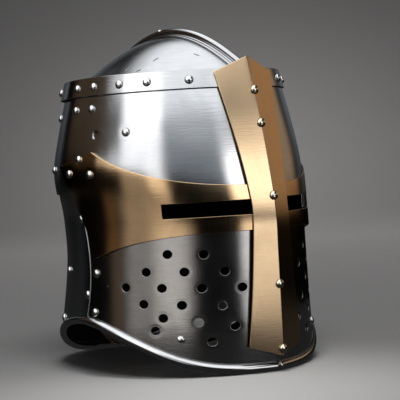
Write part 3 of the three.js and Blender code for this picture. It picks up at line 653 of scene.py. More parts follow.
def upper_front():
    seam_z = np.concatenate([np.linspace(UPPER_FRONT_FOOT, 206, 20), np.linspace(210, PLATES_TOP, 20)])
    step_b, high = SLOT[0] + SLOT_GAP, SLOT[2] + SLOT_GAP
    right = domain(upper_seam(seam_z), seam_z)
    left = domain(-upper_seam(seam_z[::-1]), seam_z[::-1])
    bottom = domain(np.array([-step_b, -step_b, 0, step_b, step_b]),
                    np.array([UPPER_FRONT_FOOT, high, high, high, UPPER_FRONT_FOOT]))
    outline = resample(path(right, left, bottom), 3)
    keel = domain(0, np.arange(high + 3, 288, 3.0))
    rivets = ((61.6, 235.5), (85.3, 260.5), (98.5, 260.5))
    spots = [(s * b, z, 0.1, 3.5, 3.0) for s in (-1, 1) for b, z in rivets]
    dent = (80.4, 234.8)
    spots += [dent + (0.62, 1.5, 2.1)]
    rings = np.array([(r * math.cos(a), r * math.sin(a)) for r in (0.7, 1.4, 2.1, 2.8, 3.6, 4.5)
                      for a in np.arange(0, 2 * math.pi, 0.9 / r)])
    keel = np.concatenate([keel, rings + (-dent[0] * PER_DEGREE, dent[1])])
    plate = sheet_object("brow_plate", skin(2 * LAYER, 0.4, spots), outline, [], front_steel, extra=keel)
    stands_for(plate, ["upper_front_plate"])


def back_plate(name, node, start, bottom, top, lift, seed):
    b = np.linspace(start, 360 - start, 130)
    outline = path(domain(b, bottom(b)), domain(b[::-1], np.full(130, top)))
    plate = sheet_object(name, skin(lift, seed), resample(outline, 3.5), [], back_steel, spacing=5, edge=0.4)
    stands_for(plate, [node])


def back_foot(bearing):
    folded = np.minimum(bearing, 360 - bearing)
    return np.where(folded < SEAM_FOOT + 2, foot_height(bearing, FRONT_ROLL), foot_height(bearing, BACK_ROLL))


for side, word in SIDES:
    lower_front(side, word)
for side, word in SIDES:
    seam_edge(side, word)
upper_front()
back_plate("nape_plate", "lower_back_plate", 81, back_foot, 192, 0, 2.1)
back_plate("crown_back_plate", "upper_back_plate", 84, lambda b: np.full(len(b), 178.0), PLATES_TOP,
           LAYER, 3.6)


# ---- rim band, dome and crest ----

def rim_band():
    b = np.linspace(-179.9, 179.9, 260)
    outline = path(domain(b, np.full(260, BAND[0])), domain(b[::-1], np.full(260, BAND[1])))
    keel = domain(0, np.arange(BAND[0] + 2.5, BAND[1] - 1, 2.5))
    band = sheet_object("rim_strap", skin(3 * LAYER, 4.2), outline, [], band_steel, spacing=3, edge=0.5,
                        extra=keel)
    stands_for(band, ["rim_band"])


def cap_height(x, y):
    """The dome's height, a smooth cap whose foot blends into the level rim."""
    r2 = (x / CAP["half_width"]) ** 2 + ((y - CAP["middle_y"]) / CAP["half_length"]) ** 2
    w = 1 - r2
    soft = 0.5 * (w + np.sqrt(w * w + 0.05**2))
    return CAP["base"] + CAP["rise"] * soft ** CAP["power"] - 0.6


def skull_dome():
    columns = 180
    bearing = np.linspace(-180, 180, columns, endpoint=False)
    rim = on_shell(bearing, 290, 0)
    reach = np.concatenate([[1.0, 0.997, 0.99], np.linspace(0.98, 0.70, 26), np.linspace(0.68, 0.03, 40)])
    skirt_z = (268.3, 276, 283, 286)
    rings = [on_shell(bearing, z, 0) for z in skirt_z]
    for k, fraction in enumerate(reach):
        x = rim[:, 0] * fraction
        y = CAP["middle_y"] + (rim[:, 1] - CAP["middle_y"]) * fraction
        z = cap_height(x, y) + 0.10 * np.sin(x / 13) * np.sin(y / 17) * (fraction < 0.95)
        rings.append(np.stack([x, y, z - (0.5 if k == 0 else 0.12 if k == 1 else 0)], -1))
    outer = np.concatenate(rings)
    crown = np.array([[0, CAP["middle_y"], cap_height(0.0, CAP["middle_y"])]])
    under = [ring * np.array([0.985, 0.985, 1]) - np.array([0, 0, 0 if k < len(skirt_z) else STEEL])
             for k, ring in enumerate(rings)]
    count = len(outer)
    points = np.concatenate([outer, crown, *under, crown - np.array([[0, 0, STEEL]])])
    faces = grid_faces(len(rings), columns)
    top = (len(rings) - 1) * columns
    faces += [[top + k, top + (k + 1) % columns, count] for k in range(columns)]
    inner = range(len(faces), 2 * len(faces))
    faces += [[count + 1 + i for i in reversed(f)] for f in faces]
    faces += [[k, count + 1 + k, count + 1 + (k + 1) % columns, (k + 1) % columns] for k in range(columns)]
    # the inner faces take the dark steel of painted shade
    dome = make_object("skull_cap", points, faces, dome_steel, dark_faces=inner)
    stands_for(dome, ["skull_dome"])


CREST = (-113.5, 113.5)


def crest_section():
    """The crest's outline across: a flange each side, a hollow and a round bead."""
    bead = [(3.3 * math.sin(a), 5.5 + 3.4 * math.cos(a)) for a in np.radians(np.arange(0, 126, 9))]
    side = bead + [(2.75, 2.9), (3.1, 2.35), (3.8, 2.0), (6.6, 1.75), (7.3, 1.5), (7.5, 1.0), (7.4, 0.35)]
    return np.array([(-x, h) for x, h in side[:0:-1]] + side)


def crest():
    section = crest_section()
    ys = np.linspace(*CREST, 120)
    slope = (cap_height(0.0, ys + 0.5) - cap_height(0.0, ys - 0.5))
    out = unit(np.stack([np.zeros_like(ys), -slope, np.ones_like(ys)], -1))
    foot = np.stack([np.zeros_like(ys), ys, cap_height(0.0, ys)], -1)
    rings = []
    for f, o in zip(foot, out):
        ring = f + section[:, 1:] * o
        ring[:, 0] = section[:, 0]
        rings.append(ring)
    faces = grid_faces(len(rings), len(section)) + end_faces(len(rings), len(section))
    comb = make_object("crest_bead", np.concatenate(rings), faces, band_steel)
    stands_for(comb, ["crest_comb"])


rim_band()
skull_dome()
crest()


# ---- brass cross ----

def nasal_profile():
    """For each height: the bar's half width, and how far forward its ridge and its edge are."""
    z = np.arange(0, 320, 1.0)
    up = np.clip((z - NASAL["waist_z"]) / 130, 0, None) ** 1.2 * 13
    down = np.clip((NASAL["waist_z"] - z) / 135, 0, None) ** 1.6 * 10.5
    half = NASAL["waist"] + up + down
    ridge = on_shell(0.0, z, NASAL["ridge"])[:, 1]
    bearings = np.linspace(1, 40, 200)
    edge = []
    for height, width in zip(z, half):
        line = on_shell(bearings, height, NASAL["edge"])
        edge.append(np.interp(width, -line[:, 0], line[:, 1]))
    return z, half, ridge, np.array(edge)


def nasal_bar():
    heights, half, ridge, edge = nasal_profile()
    soft = 0.55

    def point(flat):
        x, z = flat[:, 0], flat[:, 1]
        w, y0, y1 = (np.interp(z, heights, column) for column in (half, ridge, edge))
        lean = (np.sqrt(x * x + soft**2) - soft) / (np.sqrt(w * w + soft**2) - soft)
        wave = 0.06 * np.sin(z / 23 + np.sign(x)) * np.sin(x / 9)
        return np.stack([x, y0 + (y1 - y0) * lean + wave, z], -1)

    low_apex, low_corner = NASAL["bottom"]
    high_apex, high_corner = NASAL["top"]
    side_z = np.linspace(low_corner, high_corner, 110)
    side_x = np.interp(side_z, heights, half)
    outline = path(np.array([(0, low_apex)]), np.stack([side_x, side_z], -1), np.array([(0, high_apex)]),
                   np.stack([-side_x[::-1], side_z[::-1]], -1))
    columns = np.array([0, -0.3, 0.3, -0.8, 0.8, -1.6, 1.6])
    ridge_points = np.array([(x, z) for z in np.arange(low_apex + 1.5, high_apex - 1.5, 2.5)
                             for x in columns])
    bar = sheet_object("nasal_plate", placing(point, 0.1, 1.5), resample(outline, 2.5), [], nasal_brass,
                       thick=NASAL["thick"], spacing=3, edge=0.55, extra=ridge_points)
    stands_for(bar, ["nasal_bar"])


def sight_arm(side, word):
    (peak_b, peak_z), (rear_b, rear_z), (low_b, low_z) = ARM["peak"], ARM["rear"], ARM["low"]
    top_b = np.linspace(ARM["start"], peak_b, 60)
    top_z = ARM["top"] + (peak_z - ARM["top"]) * (top_b / peak_b) ** 2.25
    bottom_b = np.linspace(ARM["start"], low_b, 50)
    bottom_z = ARM["bottom"] - (ARM["bottom"] - low_z) * (bottom_b / low_b) ** 3.3
    end_t = np.linspace(0, 1, 30)[1:-1]
    bow = -1.6 * np.sin(end_t * math.pi)
    end_b, end_z = low_b + (rear_b - low_b) * end_t + bow, low_z + (rear_z - low_z) * end_t
    outline = path(domain(side * bottom_b, bottom_z), domain(side * end_b, end_z),
                   domain(side * rear_b, rear_z), domain(side * top_b[::-1], top_z[::-1]))
    slot_end, slot_low, slot_high = SLOT
    slot_start = 3.0
    slot = resample(domain(side * np.array([slot_start, slot_end, slot_end, slot_start]),
                           np.array([slot_low, slot_low, slot_high, slot_high])), 2.5)
    spots = [(side * b, z, 0.14, 3.5, 3.0) for b, z in ((90, 211.5), (96.4, 198.5), (81.4, 197))]
    place = skin(3 * LAYER + 0.1, 0.9 + side, spots)
    arm = sheet_object("sight_plate_" + word, place, resample(outline, 2.5), [slot], brass, spacing=3,
                       edge=0.5)
    stands_for(arm, ["sight_arm_" + word])


nasal_bar()
for side, word in SIDES:
    sight_arm(side, word)


# ---- rolled rim ----

def roll(name, node, start, end, steps, radius, offset):
    bearing = np.linspace(start, end, steps)

    def centre(b):
        z = rim_height(b, radius)
        p = on_shell(b, z, offset)
        p[..., 2] = z
        return p

    along = unit(centre(bearing + 0.3) - centre(bearing - 0.3))
    across = unit(np.cross(np.array([0, 0, 1.0]), along))
    upward = np.cross(along, across)
    bar = tube_object(name, centre(bearing), across, upward, radius, roll_steel)
    stands_for(bar, [node])


for side, word in SIDES:
    roll("rolled_edge_" + word, "front_roll_" + word, side * 0.04, side * SEAM_FOOT, 90, FRONT_ROLL,
         LAYER - STEEL / 2)
roll("rolled_edge_back", "back_roll", SEAM_FOOT + 0.3, 359.7 - SEAM_FOOT, 200, BACK_ROLL, -STEEL / 2)


# ---- rivets ----

RIVET_RADIUS, RIVET_HEIGHT = 4.05, 2.95


def turned_object(name, seat, out, profile, material, turn=0.0, dark_rings=0):
    """A turned shape on an axis: profile gives radius and height from one end to the other."""
    side = unit(np.cross(out, np.array([0.13, 0.2, 0.97])))
    up = np.cross(out, side)
    count = 28
    turns = full_turn(count) + turn
    rings = [seat + out * h + r * (np.cos(turns)[:, None] * side + np.sin(turns)[:, None] * up)
             for r, h in profile]
    points = np.concatenate(rings + [[seat + out * profile[-1][1]]])
    faces = grid_faces(len(rings), count)
    last = (len(rings) - 1) * count
    faces += [[last + k, last + (k + 1) % count, len(points) - 1] for k in range(count)]
    faces.append(list(range(count))[::-1])
    return make_object(name, points, faces, material, dark_faces=range(dark_rings * count))


def rivet_object(name, seat, out, material, radius=RIVET_RADIUS, height=RIVET_HEIGHT, turn=0.0):
    """A domed rivet head, a little flattened on top and rounded under at its edge."""
    angles = np.radians(np.linspace(0, 88, 12))
    profile = [(radius + 0.35, 0.0), (radius + 0.3, 0.1), (radius - 0.05, 0.16)]
    profile += [(radius * math.cos(a) ** 0.92, 0.3 + (height - 0.3) * math.sin(a)) for a in angles]
    # the three lowest rings take the dark steel: a painted contact shadow round the head's foot
    return turned_object(name, seat, out, profile, material, turn, dark_rings=3)


SIDE_RIVETS = [  # name, bearing, height, layer
    ("arm_rivet_top", 90, 211.5, 3),
    ("arm_rivet_rear", 96.4, 198.5, 3),
    ("arm_rivet_front", 81.4, 197, 3),
    ("brow_rivet_front", 85.3, 260.5, 2),
    ("brow_rivet_rear", 98.5, 260.5, 2),
    ("liner_rivet", 61.6, 235.5, 2),
    ("seam_rivet_top", 94.6, 153.8, 0),
    ("seam_rivet_middle", 82.9, 100.5, 1),
    ("seam_rivet_bottom", 84.7, 62.3, 1),
    ("cheek_rivet", 41.1, 36.5, 1),
    ("band_rivet_1", 29.8, 281.5, 3),
    ("band_rivet_2", 50.9, 281.5, 3),
    ("band_rivet_3", 66.5, 281.5, 3),
    ("band_rivet_4", 98.8, 281.5, 3),
    ("strap_rivet", 91.3, 79, 0),
]
MORE_RIVETS = [  # without a node of their own in the frame
    ("band_rivet_5", 84.8, 281.5, 3),
    ("band_rivet_6", 129.8, 281.5, 3),
    ("band_rivet_7", 155, 281.5, 3),
    ("back_rivet_1", 127, 256, 1),
    ("back_rivet_2", 120, 203, 1),
    ("back_rivet_3", 155, 185, 1),
    ("back_rivet_4", 112, 101, 0),
    ("back_rivet_5", 119, 51, 0),
]


def shell_rivet(name, bearing, z, lift, material=rivet_steel, **shape):
    return rivet_object(name, on_shell(bearing, z, lift), shell_normal(bearing, z), material, **shape)


def plate_rivet(name, bearing, z, layer):
    """A rivet head on a plate, each turned a little differently."""
    head = shell_rivet(name, bearing, z, layer * LAYER - 0.05, turn=bearing)
    return head


for side, word in SIDES:
    for label, bearing, z, layer in SIDE_RIVETS:
        head = plate_rivet(f"{label}_head_{word}", side * bearing, z, layer)
        if label != "strap_rivet":
            stands_for(head, [f"{label}_{word}"])
    for label, bearing, z, layer in MORE_RIVETS:
        plate_rivet(f"{label}_head_{word}", side * bearing, z, layer)
plate_rivet("band_rivet_back_head", 180, 281.5, 3)
plug_bearing, _, _, plug_z, _ = BREATH_ROWS[3]
shell_rivet("filled_breath_hole", plug_bearing, plug_z, LAYER - 1.1, back_steel,
                    radius=BREATH_RADIUS - 0.12, height=0.45)
crest_seat = np.array([0, 16.5, cap_height(0.0, 16.5) + 7.8])
rivet_object("crest_rivet_head", crest_seat, np.array([0, -0.08, 0.997]), rivet_steel, 3.0, 2.0)

NASAL_RIVETS = (22, 84, 167, 236, 268)
for i, z in enumerate(NASAL_RIVETS):
    ends = on_shell(0.0, np.array([z - 1.0, z + 1.0]), NASAL["ridge"])
    along = unit(ends[1] - ends[0])
    out = np.array([0, -along[2], along[1]])
    seat = on_shell(0.0, z, NASAL["ridge"] - 0.5)
    head = rivet_object(f"nasal_rivet_head_{i + 1}", seat, out, brass_rivet, 4.35, 3.4)
    stands_for(head, [f"nasal_rivet_{i + 1}"])


# ---- chin strap ----

STRAP = {"width": 22, "thick": 2.5, "half_span": 113.5, "bend_z": 70, "drop": 54, "pivot": 99, "end": 109}
STRAP_Y = -1.824
BUCKLE = {"hinge": 48, "far": 35, "bar": 1.6, "side": 13.9, "gap": 0.3}
FREE_END = {"tip": 66, "under": -3.6, "over": 6.05, "along": 3.0}
Y_AXIS = np.array([0.0, 1.0, 0.0])


def strap_line(angle):
    """The strap's middle line: straight down from each pivot and round under the chin, which is at 0."""
    angle = np.asarray(angle, float)
    bend = np.radians(np.minimum(np.abs(angle), 90))
    x = np.where(angle >= 0, -1.0, 1.0) * STRAP["half_span"] * np.sin(bend)
    z = STRAP["bend_z"] - STRAP["drop"] * np.cos(bend) + np.maximum(0, np.abs(angle) - 90)
    return np.stack([x, np.full_like(x, STRAP_Y), z], -1)


def strap_away(angle):
    """The direction away from the chin."""
    return np.cross(unit(strap_line(angle + 0.25) - strap_line(angle - 0.25)), Y_AXIS)


def strap_point(angle, offset):
    angle, offset = np.broadcast_arrays(np.asarray(angle, float), np.asarray(offset, float))
    return strap_line(angle) + strap_away(angle) * offset[..., None]


def free_end_offset(angle):
    """Under the buckle's far bar, then over the other strap's loop, then down on to that strap."""
    def ease(low, high):
        t = np.clip((angle - low) / (high - low), 0, 1)
        return t * t * (3 - 2 * t)
    return (FREE_END["under"] * ease(24, 33) + (FREE_END["over"] - FREE_END["under"]) * ease(36, 45)
            + (FREE_END["along"] - FREE_END["over"]) * ease(51, 58))


def on_free_end(angle):
    return strap_point(angle, free_end_offset(angle))


hinge_bar = strap_point(BUCKLE["hinge"], 0)
hinge_out = strap_away(BUCKLE["hinge"])
hinge_along = np.cross(Y_AXIS, hinge_out)


def strap_loop():
    """The right strap's middle line: a short tail inside, round the hinge bar, and on to the strap."""
    reach = BUCKLE["bar"] + BUCKLE["gap"] + STRAP["thick"] / 2
    turns = np.radians(np.arange(285, 55, -6))
    flat = [(s, -2.65) for s in np.arange(9, 2, -1.0)]
    flat += [(reach * math.cos(t), reach * math.sin(t)) for t in turns]
    t = np.linspace(0, 1, 8)[1:, None]
    rise = eased(t, *np.array([flat[-1], (9.0, 0.0), (6, -3.2), (8, 0)]))
    flat = np.concatenate([np.array(flat), rise])
    around_bar = hinge_bar + flat[:, :1] * hinge_along + flat[:, 1:] * hinge_out
    on_strap = strap_line(np.arange(54.5, STRAP["end"] + 0.1, 0.5))
    line = np.concatenate([around_bar, on_strap])
    for _ in range(3):
        line[1:-1] = (line[:-2] + 2 * line[1:-1] + line[2:]) / 4
    return line


class Strip:
    """A flat strap along a line: u runs along it, v across it."""

    def __init__(self, line):
        self.line = line
        self.reach = np.concatenate([[0], np.cumsum(np.linalg.norm(np.diff(line, axis=0), axis=1))])
        self.out = np.cross(unit(np.gradient(line, axis=0)), Y_AXIS)

    def along(self, values, u):
        return np.stack([np.interp(u, self.reach, values[:, k]) for k in range(3)], -1)

    def place(self, flat):
        out = unit(self.along(self.out, flat[:, 0]))
        return self.along(self.line, flat[:, 0]) + out * STRAP["thick"] / 2 + flat[:, 1:] * Y_AXIS, out

    def nearest(self, point):
        """How far along the strip the place nearest to a point is."""
        return self.reach[np.argmin(np.linalg.norm(self.line - point, axis=1))]


def rounded_slot(start, end, half, count=7):
    turns = np.linspace(-math.pi / 2, math.pi / 2, count)
    cap = np.stack([np.cos(turns), np.sin(turns)], -1) * half
    return resample(np.concatenate([cap + (end - half, 0), -cap + (start + half, 0)]), 2.0)


def strap_outline(length, round_start, round_end):
    """A strap's cut, with each end rounded over that many millimetres, or square for 0."""
    half = STRAP["width"] / 2
    turns = np.linspace(0, math.pi / 2, 9)
    parts = []
    for reach, at, way in ((round_end, length, 1), (round_start, 0, -1)):
        if reach:
            top = np.stack([at - way * reach * (1 - np.cos(turns)), way * half * np.sin(turns) ** 0.8], -1)
            low = top[::-1] * (1, -1)
            parts.append(np.concatenate([low[:-1], top]))
        else:
            parts.append(np.array([(at, -way * half), (at, way * half)], float))
    return resample(np.concatenate(parts), 3.0)


def stitches(name, place, starts, step, material, body, radius=0.42):
    """Short stitches that start at flat points and run along u, each dipping in at both ends."""
    t = np.linspace(0, 1, 5)
    height = np.array([-0.35, 0.12, 0.24, 0.12, -0.35])
    flat = np.stack([starts + (step * 0.72 * k, 0) for k in t], 1)
    base, out = place(flat.reshape(-1, 2))
    base, out = base.reshape(flat.shape[:2] + (3,)), out.reshape(flat.shape[:2] + (3,))
    centre = base + out * height[:, None]
    across = unit(np.cross(out, np.gradient(centre, axis=1)))
    sides = 6
    turns = full_turn(sides)
    rings = centre[:, :, None] + radius * (np.cos(turns)[:, None] * across[:, :, None]
                                           + np.sin(turns)[:, None] * out[:, :, None])
    one = grid_faces(len(t), sides) + end_faces(len(t), sides)
    faces = [[number * len(t) * sides + i for i in f] for number in range(len(starts)) for f in one]
    return make_object(name, rings.reshape(-1, 3), faces, material, body=body)


def stitch_rows(start, end, rows, step, keep_off=()):
    """Where stitches start, in rows at each v, leaving out those near a gap's middle (u, reach)."""
    points = np.array([(u, v) for v in rows for u in np.arange(start, end - step, step)])
    for middle, reach in keep_off:
        points = points[np.abs(points[:, 0] + step / 2 - middle) > reach]
    return points


STITCH = 3.6
STITCH_ROWS = (-8.4, 8.4)
right = Strip(strap_loop())
left = Strip(on_free_end(np.arange(-STRAP["end"], FREE_END["tip"] + 0.1, 0.5)))
right_pivot = right.nearest(strap_line(STRAP["pivot"]))
left_pivot = left.nearest(strap_line(-STRAP["pivot"]))
slot_from, slot_to = (left.nearest(on_free_end(a)) for a in (36.5, 53.0))
punched = [left.nearest(on_free_end(a)) for a in (2.0, 10.5, 19.0, 58.5)]
PIVOT_HOLE, PUNCHED_HOLE, SLOT_HALF = 2.4, 1.7, 2.5
strap_cuts = [  # side, strip, end rounding, cuts, places without stitches, length without them at the end
    ("right", right, (0.0, 9.0), [circle(right_pivot, 0, PIVOT_HOLE), rounded_slot(4.5, 27.0, SLOT_HALF)],
     [(right_pivot, 5), (11, 13)], 12.0),
    ("left", left, (9.0, 14.0),
     [circle(left_pivot, 0, PIVOT_HOLE), rounded_slot(slot_from, slot_to, SLOT_HALF)]
     + [circle(u, 0, PUNCHED_HOLE) for u in punched],
     [(left_pivot, 5)], 20.0),
]
for word, strip, (round_start, round_end), cuts, keep_off, last in strap_cuts:
    length = strip.reach[-1]
    outline = strap_outline(length, round_start, round_end)
    strap = sheet_object(f"leather_strap_{word}", strip.place, outline, cuts, strap_leather, STRAP["thick"],
                         2.4, 0.8, body="chin_strap", paint_shade=False)
    stands_for(strap, [f"chin_strap_{word}"])
    rows = stitch_rows(8.0, length - last, STITCH_ROWS, STITCH, keep_off)
    thread = stitches(f"strap_stitches_{word}", strip.place, rows, STITCH, waxed_thread, "chin_strap")


def closed_tube(name, centres, across, upward, radii, material, body, sides=16):
    """A tube round a closed line; radii are its half sizes along across and upward."""
    turns = full_turn(sides)
    rings = (centres[:, None] + radii[0] * np.cos(turns)[:, None] * across[:, None]
             + radii[1] * np.sin(turns)[:, None] * upward[:, None])
    faces = grid_faces(len(centres), sides, wrap=True)
    return make_object(name, rings.reshape(-1, 3), faces, material, body=body)


def buckle_bars():
    far_bar = strap_point(BUCKLE["far"], 0)
    reach, side, corner = np.linalg.norm(far_bar - hinge_bar) / 2, BUCKLE["side"], 2.6
    forward = unit(far_bar - hinge_bar)
    middle = (far_bar + hinge_bar) / 2
    corners, away = [], []
    for quarter, (sx, sy) in enumerate(((1, 1), (-1, 1), (-1, -1), (1, -1))):
        for a in np.radians(np.arange(0, 91, 15)) + quarter * math.pi / 2:
            corners.append((sx * (reach - corner), sy * (side - corner)))
            away.append((math.cos(a), math.sin(a)))
    away = np.array(away)
    flat = np.array(corners) + corner * away
    centres = middle + flat[:, :1] * forward + flat[:, 1:] * Y_AXIS
    across = away[:, :1] * forward + away[:, 1:] * Y_AXIS
    upward = np.broadcast_to(np.cross(forward, Y_AXIS), centres.shape)
    radii = (BUCKLE["bar"], BUCKLE["bar"])
    return closed_tube("buckle_bars", centres, across, -upward, radii, brass, "chin_strap")


def buckle_tongue():
    """The prong: an eye round the hinge bar, and a shank that tapers to its tip on the far bar."""
    turns = np.radians(np.arange(0, 360, 12))
    away = np.cos(turns)[:, None] * hinge_along + np.sin(turns)[:, None] * hinge_out
    eye = closed_tube("prong_eye", hinge_bar + 2.62 * away, away, np.broadcast_to(Y_AXIS, away.shape),
                      (0.66, 1.45), brass, "buckle_prong", 12)
    root, tip = strap_point(47.2, 1.75), strap_point(33.6, 3.1)
    forward = unit(tip - root)
    up = np.cross(forward, Y_AXIS) * -1
    t = np.array([0, 0.12, 0.3, 0.5, 0.7, 0.86, 0.93, 0.97, 1.0])
    full = np.array([0.7, 1, 1, 1, 1, 1, 0.94, 0.8, 0.45])[:, None]
    sides = 14
    turns = full_turn(sides)
    lift = 0.22 * np.sin(t * math.pi)[:, None] * up
    half_width, half_thick = 1.45 - 0.5 * t[:, None], 1.12 - 0.3 * t[:, None]
    rings = ((root + t[:, None] * (tip - root) + lift)[:, None]
             + (half_width * full)[:, None] * np.cos(turns)[:, None] * Y_AXIS
             + (half_thick * full)[:, None] * np.sin(turns)[:, None] * up)
    faces = [f[::-1] for f in grid_faces(len(t), sides) + end_faces(len(t), sides)]
    shank = make_object("prong_shank", rings.reshape(-1, 3), faces, brass, body="buckle_prong")
    return shank


stands_for(buckle_bars(), ["buckle_frame"])
stands_for(buckle_tongue(), ["buckle_prong"])
for side, word in SIDES:
    out = np.array([-float(side), 0, 0])
    seat = np.array([0, STRAP_Y, strap_line(STRAP["pivot"])[2]])
    burr = STRAP["half_span"] - STRAP["thick"] / 2 - BUCKLE["gap"]
    profile = [(3.7, burr - 1.3), (4.0, burr - 1.0), (4.0, burr - 0.25), (3.75, burr), (2.0, burr),
               (2.0, burr + 6.0)]
    stands_for(turned_object(f"strap_rivet_shank_{word}", seat, out, profile, rivet_steel),
               [f"strap_rivet_{word}"])


# ---- liner ----

LINER = {"thick": 2.5, "inset": 7, "bottom": 212, "top": 250}
TONGUE = {"count": 6, "inset": 11, "foot": 236, "crown_z": 303, "crown_radius": 9.6, "arc": 83.7,
          "half_width": 24, "tip_half_width": 8, "per_arc": 1.35, "per_bearing": 1.6}
BAND_STITCH = 5.0


def headband():
    """A leather band round the inside of the brow, with rounded edges."""
    low, high, round_edge = LINER["bottom"], LINER["top"], 0.9
    outer, inner = -LINER["inset"], -LINER["inset"] - LINER["thick"]
    corner = [(0, 1.0), (0.3, 0.3), (1.0, 0)]
    profile = [(outer - round_edge * a, low + round_edge * b) for a, b in corner[::-1]]
    profile += [(outer, z) for z in np.linspace(low + 4, high - 4, 6)]
    profile += [(outer - round_edge * a, high - round_edge * b) for a, b in corner]
    profile += [(inner + round_edge * a, high - round_edge * b) for a, b in corner[::-1]]
    profile += [(inner, z) for z in np.linspace(high - 4, low + 4, 6)]
    profile += [(inner + round_edge * a, low + round_edge * b) for a, b in corner]
    offset, z = np.array(profile).T
    bearings = 180 - np.arange(180) * 2.0
    puckers = 0.2 * np.sin(np.radians(bearings) * 24)[:, None] * np.sin((z - low) / (high - low) * math.pi)
    points = on_shell(bearings[:, None], z[None], offset[None] + puckers - 0.2)
    rows, columns = points.shape[:2]
    faces = [f[:1] + f[:0:-1] for f in grid_faces(rows, columns, wrap=True)]
    band = make_object("liner_band", points.reshape(-1, 3), faces, liner_leather)
    length = 2 * math.pi * math.sqrt((np.ptp(points[..., 0]) ** 2 + np.ptp(points[..., 1]) ** 2) / 8)

    def inner_face(flat):
        b = -flat[:, 0] / PER_DEGREE
        return on_shell(b, flat[:, 1], inner - 0.25), -shell_normal(b, flat[:, 1])

    starts = np.array([(u, v) for v in (low + 3.5, high - 3.5) for u in np.arange(-358, 358, BAND_STITCH)])
    thread = stitches("liner_band_stitches", inner_face, starts, BAND_STITCH, waxed_thread, "helm", 0.5)
    return band


def tongue_half(arc):
    """Half the tongue's width, in degrees of bearing."""
    share = np.clip(arc / TONGUE["arc"], 0, 1) ** 0.8
    return TONGUE["half_width"] + (TONGUE["tip_half_width"] - TONGUE["half_width"]) * share


def tongue_surface(middle):
    """The tongue's outer face: u across it, v from its foot to the crown."""
    def points(flat):
        bearing = middle - flat[:, 0] / TONGUE["per_bearing"]
        arc = np.radians(flat[:, 1] / TONGUE["per_arc"])
        edge = on_shell(bearing, LINER["top"], -TONGUE["inset"])[:, :2] - (0, CAP["middle_y"])
        full = np.linalg.norm(edge, axis=1)
        reach = TONGUE["crown_radius"] + (full - TONGUE["crown_radius"]) * np.cos(arc)
        flat_place = edge / full[:, None] * reach[:, None] + (0, CAP["middle_y"])
        z = TONGUE["foot"] + (TONGUE["crown_z"] - TONGUE["foot"]) * np.sin(arc)
        return np.concatenate([flat_place, z[:, None]], 1)

    return placing(points, 0.4, 0.4)


def tongue_outline():
    arcs = np.linspace(0, TONGUE["arc"], 30)
    half = tongue_half(arcs) * TONGUE["per_bearing"]
    v = arcs * TONGUE["per_arc"]
    half = half * np.minimum(1, 0.55 + 0.45 * np.sqrt(np.clip((v[-1] - v) / 6, 0, 1)))
    half = half * np.minimum(1, 0.86 + 0.14 * np.sqrt(np.clip(v / 5, 0, 1)))
    edge = np.stack([half, v], -1)
    return resample(np.concatenate([edge, edge[::-1] * (-1, 1)]), 3.0)


def tongue(number):
    middle = (number + 0.5) * 360 / TONGUE["count"]
    place = tongue_surface(middle)
    lace_hole = circle(0, TONGUE["arc"] * TONGUE["per_arc"] - 9, 2.2) * (1.6, 1)
    piece = sheet_object(f"liner_leaf_{number + 1}", place, tongue_outline(), [lace_hole], liner_leather,
                         LINER["thick"], 3.4, 0.9, paint_shade=False)
    stands_for(piece, [f"liner_tongue_{number + 1}"])
    arcs = np.linspace(0, TONGUE["arc"], 60)
    line = place(np.stack([0 * arcs, arcs * TONGUE["per_arc"]], -1))[0]
    steps = np.linalg.norm(np.diff(line, axis=0), axis=1)


stands_for(headband(), ["liner_headband"])
for number in range(TONGUE["count"]):
    tongue(number)


# ---- stage: a bowl for floor and backdrop, soft light and camera ----

HELM_MIDDLE = Vector((0, 0, 0.17))
WHITE, COOL = (1.0, 0.99, 0.98), (0.86, 0.93, 1.0)
GREY, BROWN = (1.0, 0.95, 0.90), (1.0, 0.68, 0.42)


def stage_object(name, points, faces, material):
    mesh = bpy.data.meshes.new(name)
    mesh.from_pydata(points, [], faces)
    mesh.polygons.foreach_set("use_smooth", [True] * len(mesh.polygons))
    mesh.materials.append(material)
    obj = bpy.data.objects.new(name, mesh)
    bpy.context.scene.collection.objects.link(obj)
    return obj


def lathe(profile, count=72):
    """Points and faces of a profile of radius and height turned about the upright axis."""
    points = [(r * math.cos(a), r * math.sin(a), z) for r, z in profile for a in full_turn(count)]
    return points, grid_faces(len(profile), count)


def joined(n, kind, *sources):
    """A node of a kind with its inputs in order."""
    node = n.node(kind)
    for source, socket in zip(sources, node.inputs):
        n.link(source, socket)
    return node.outputs[0]


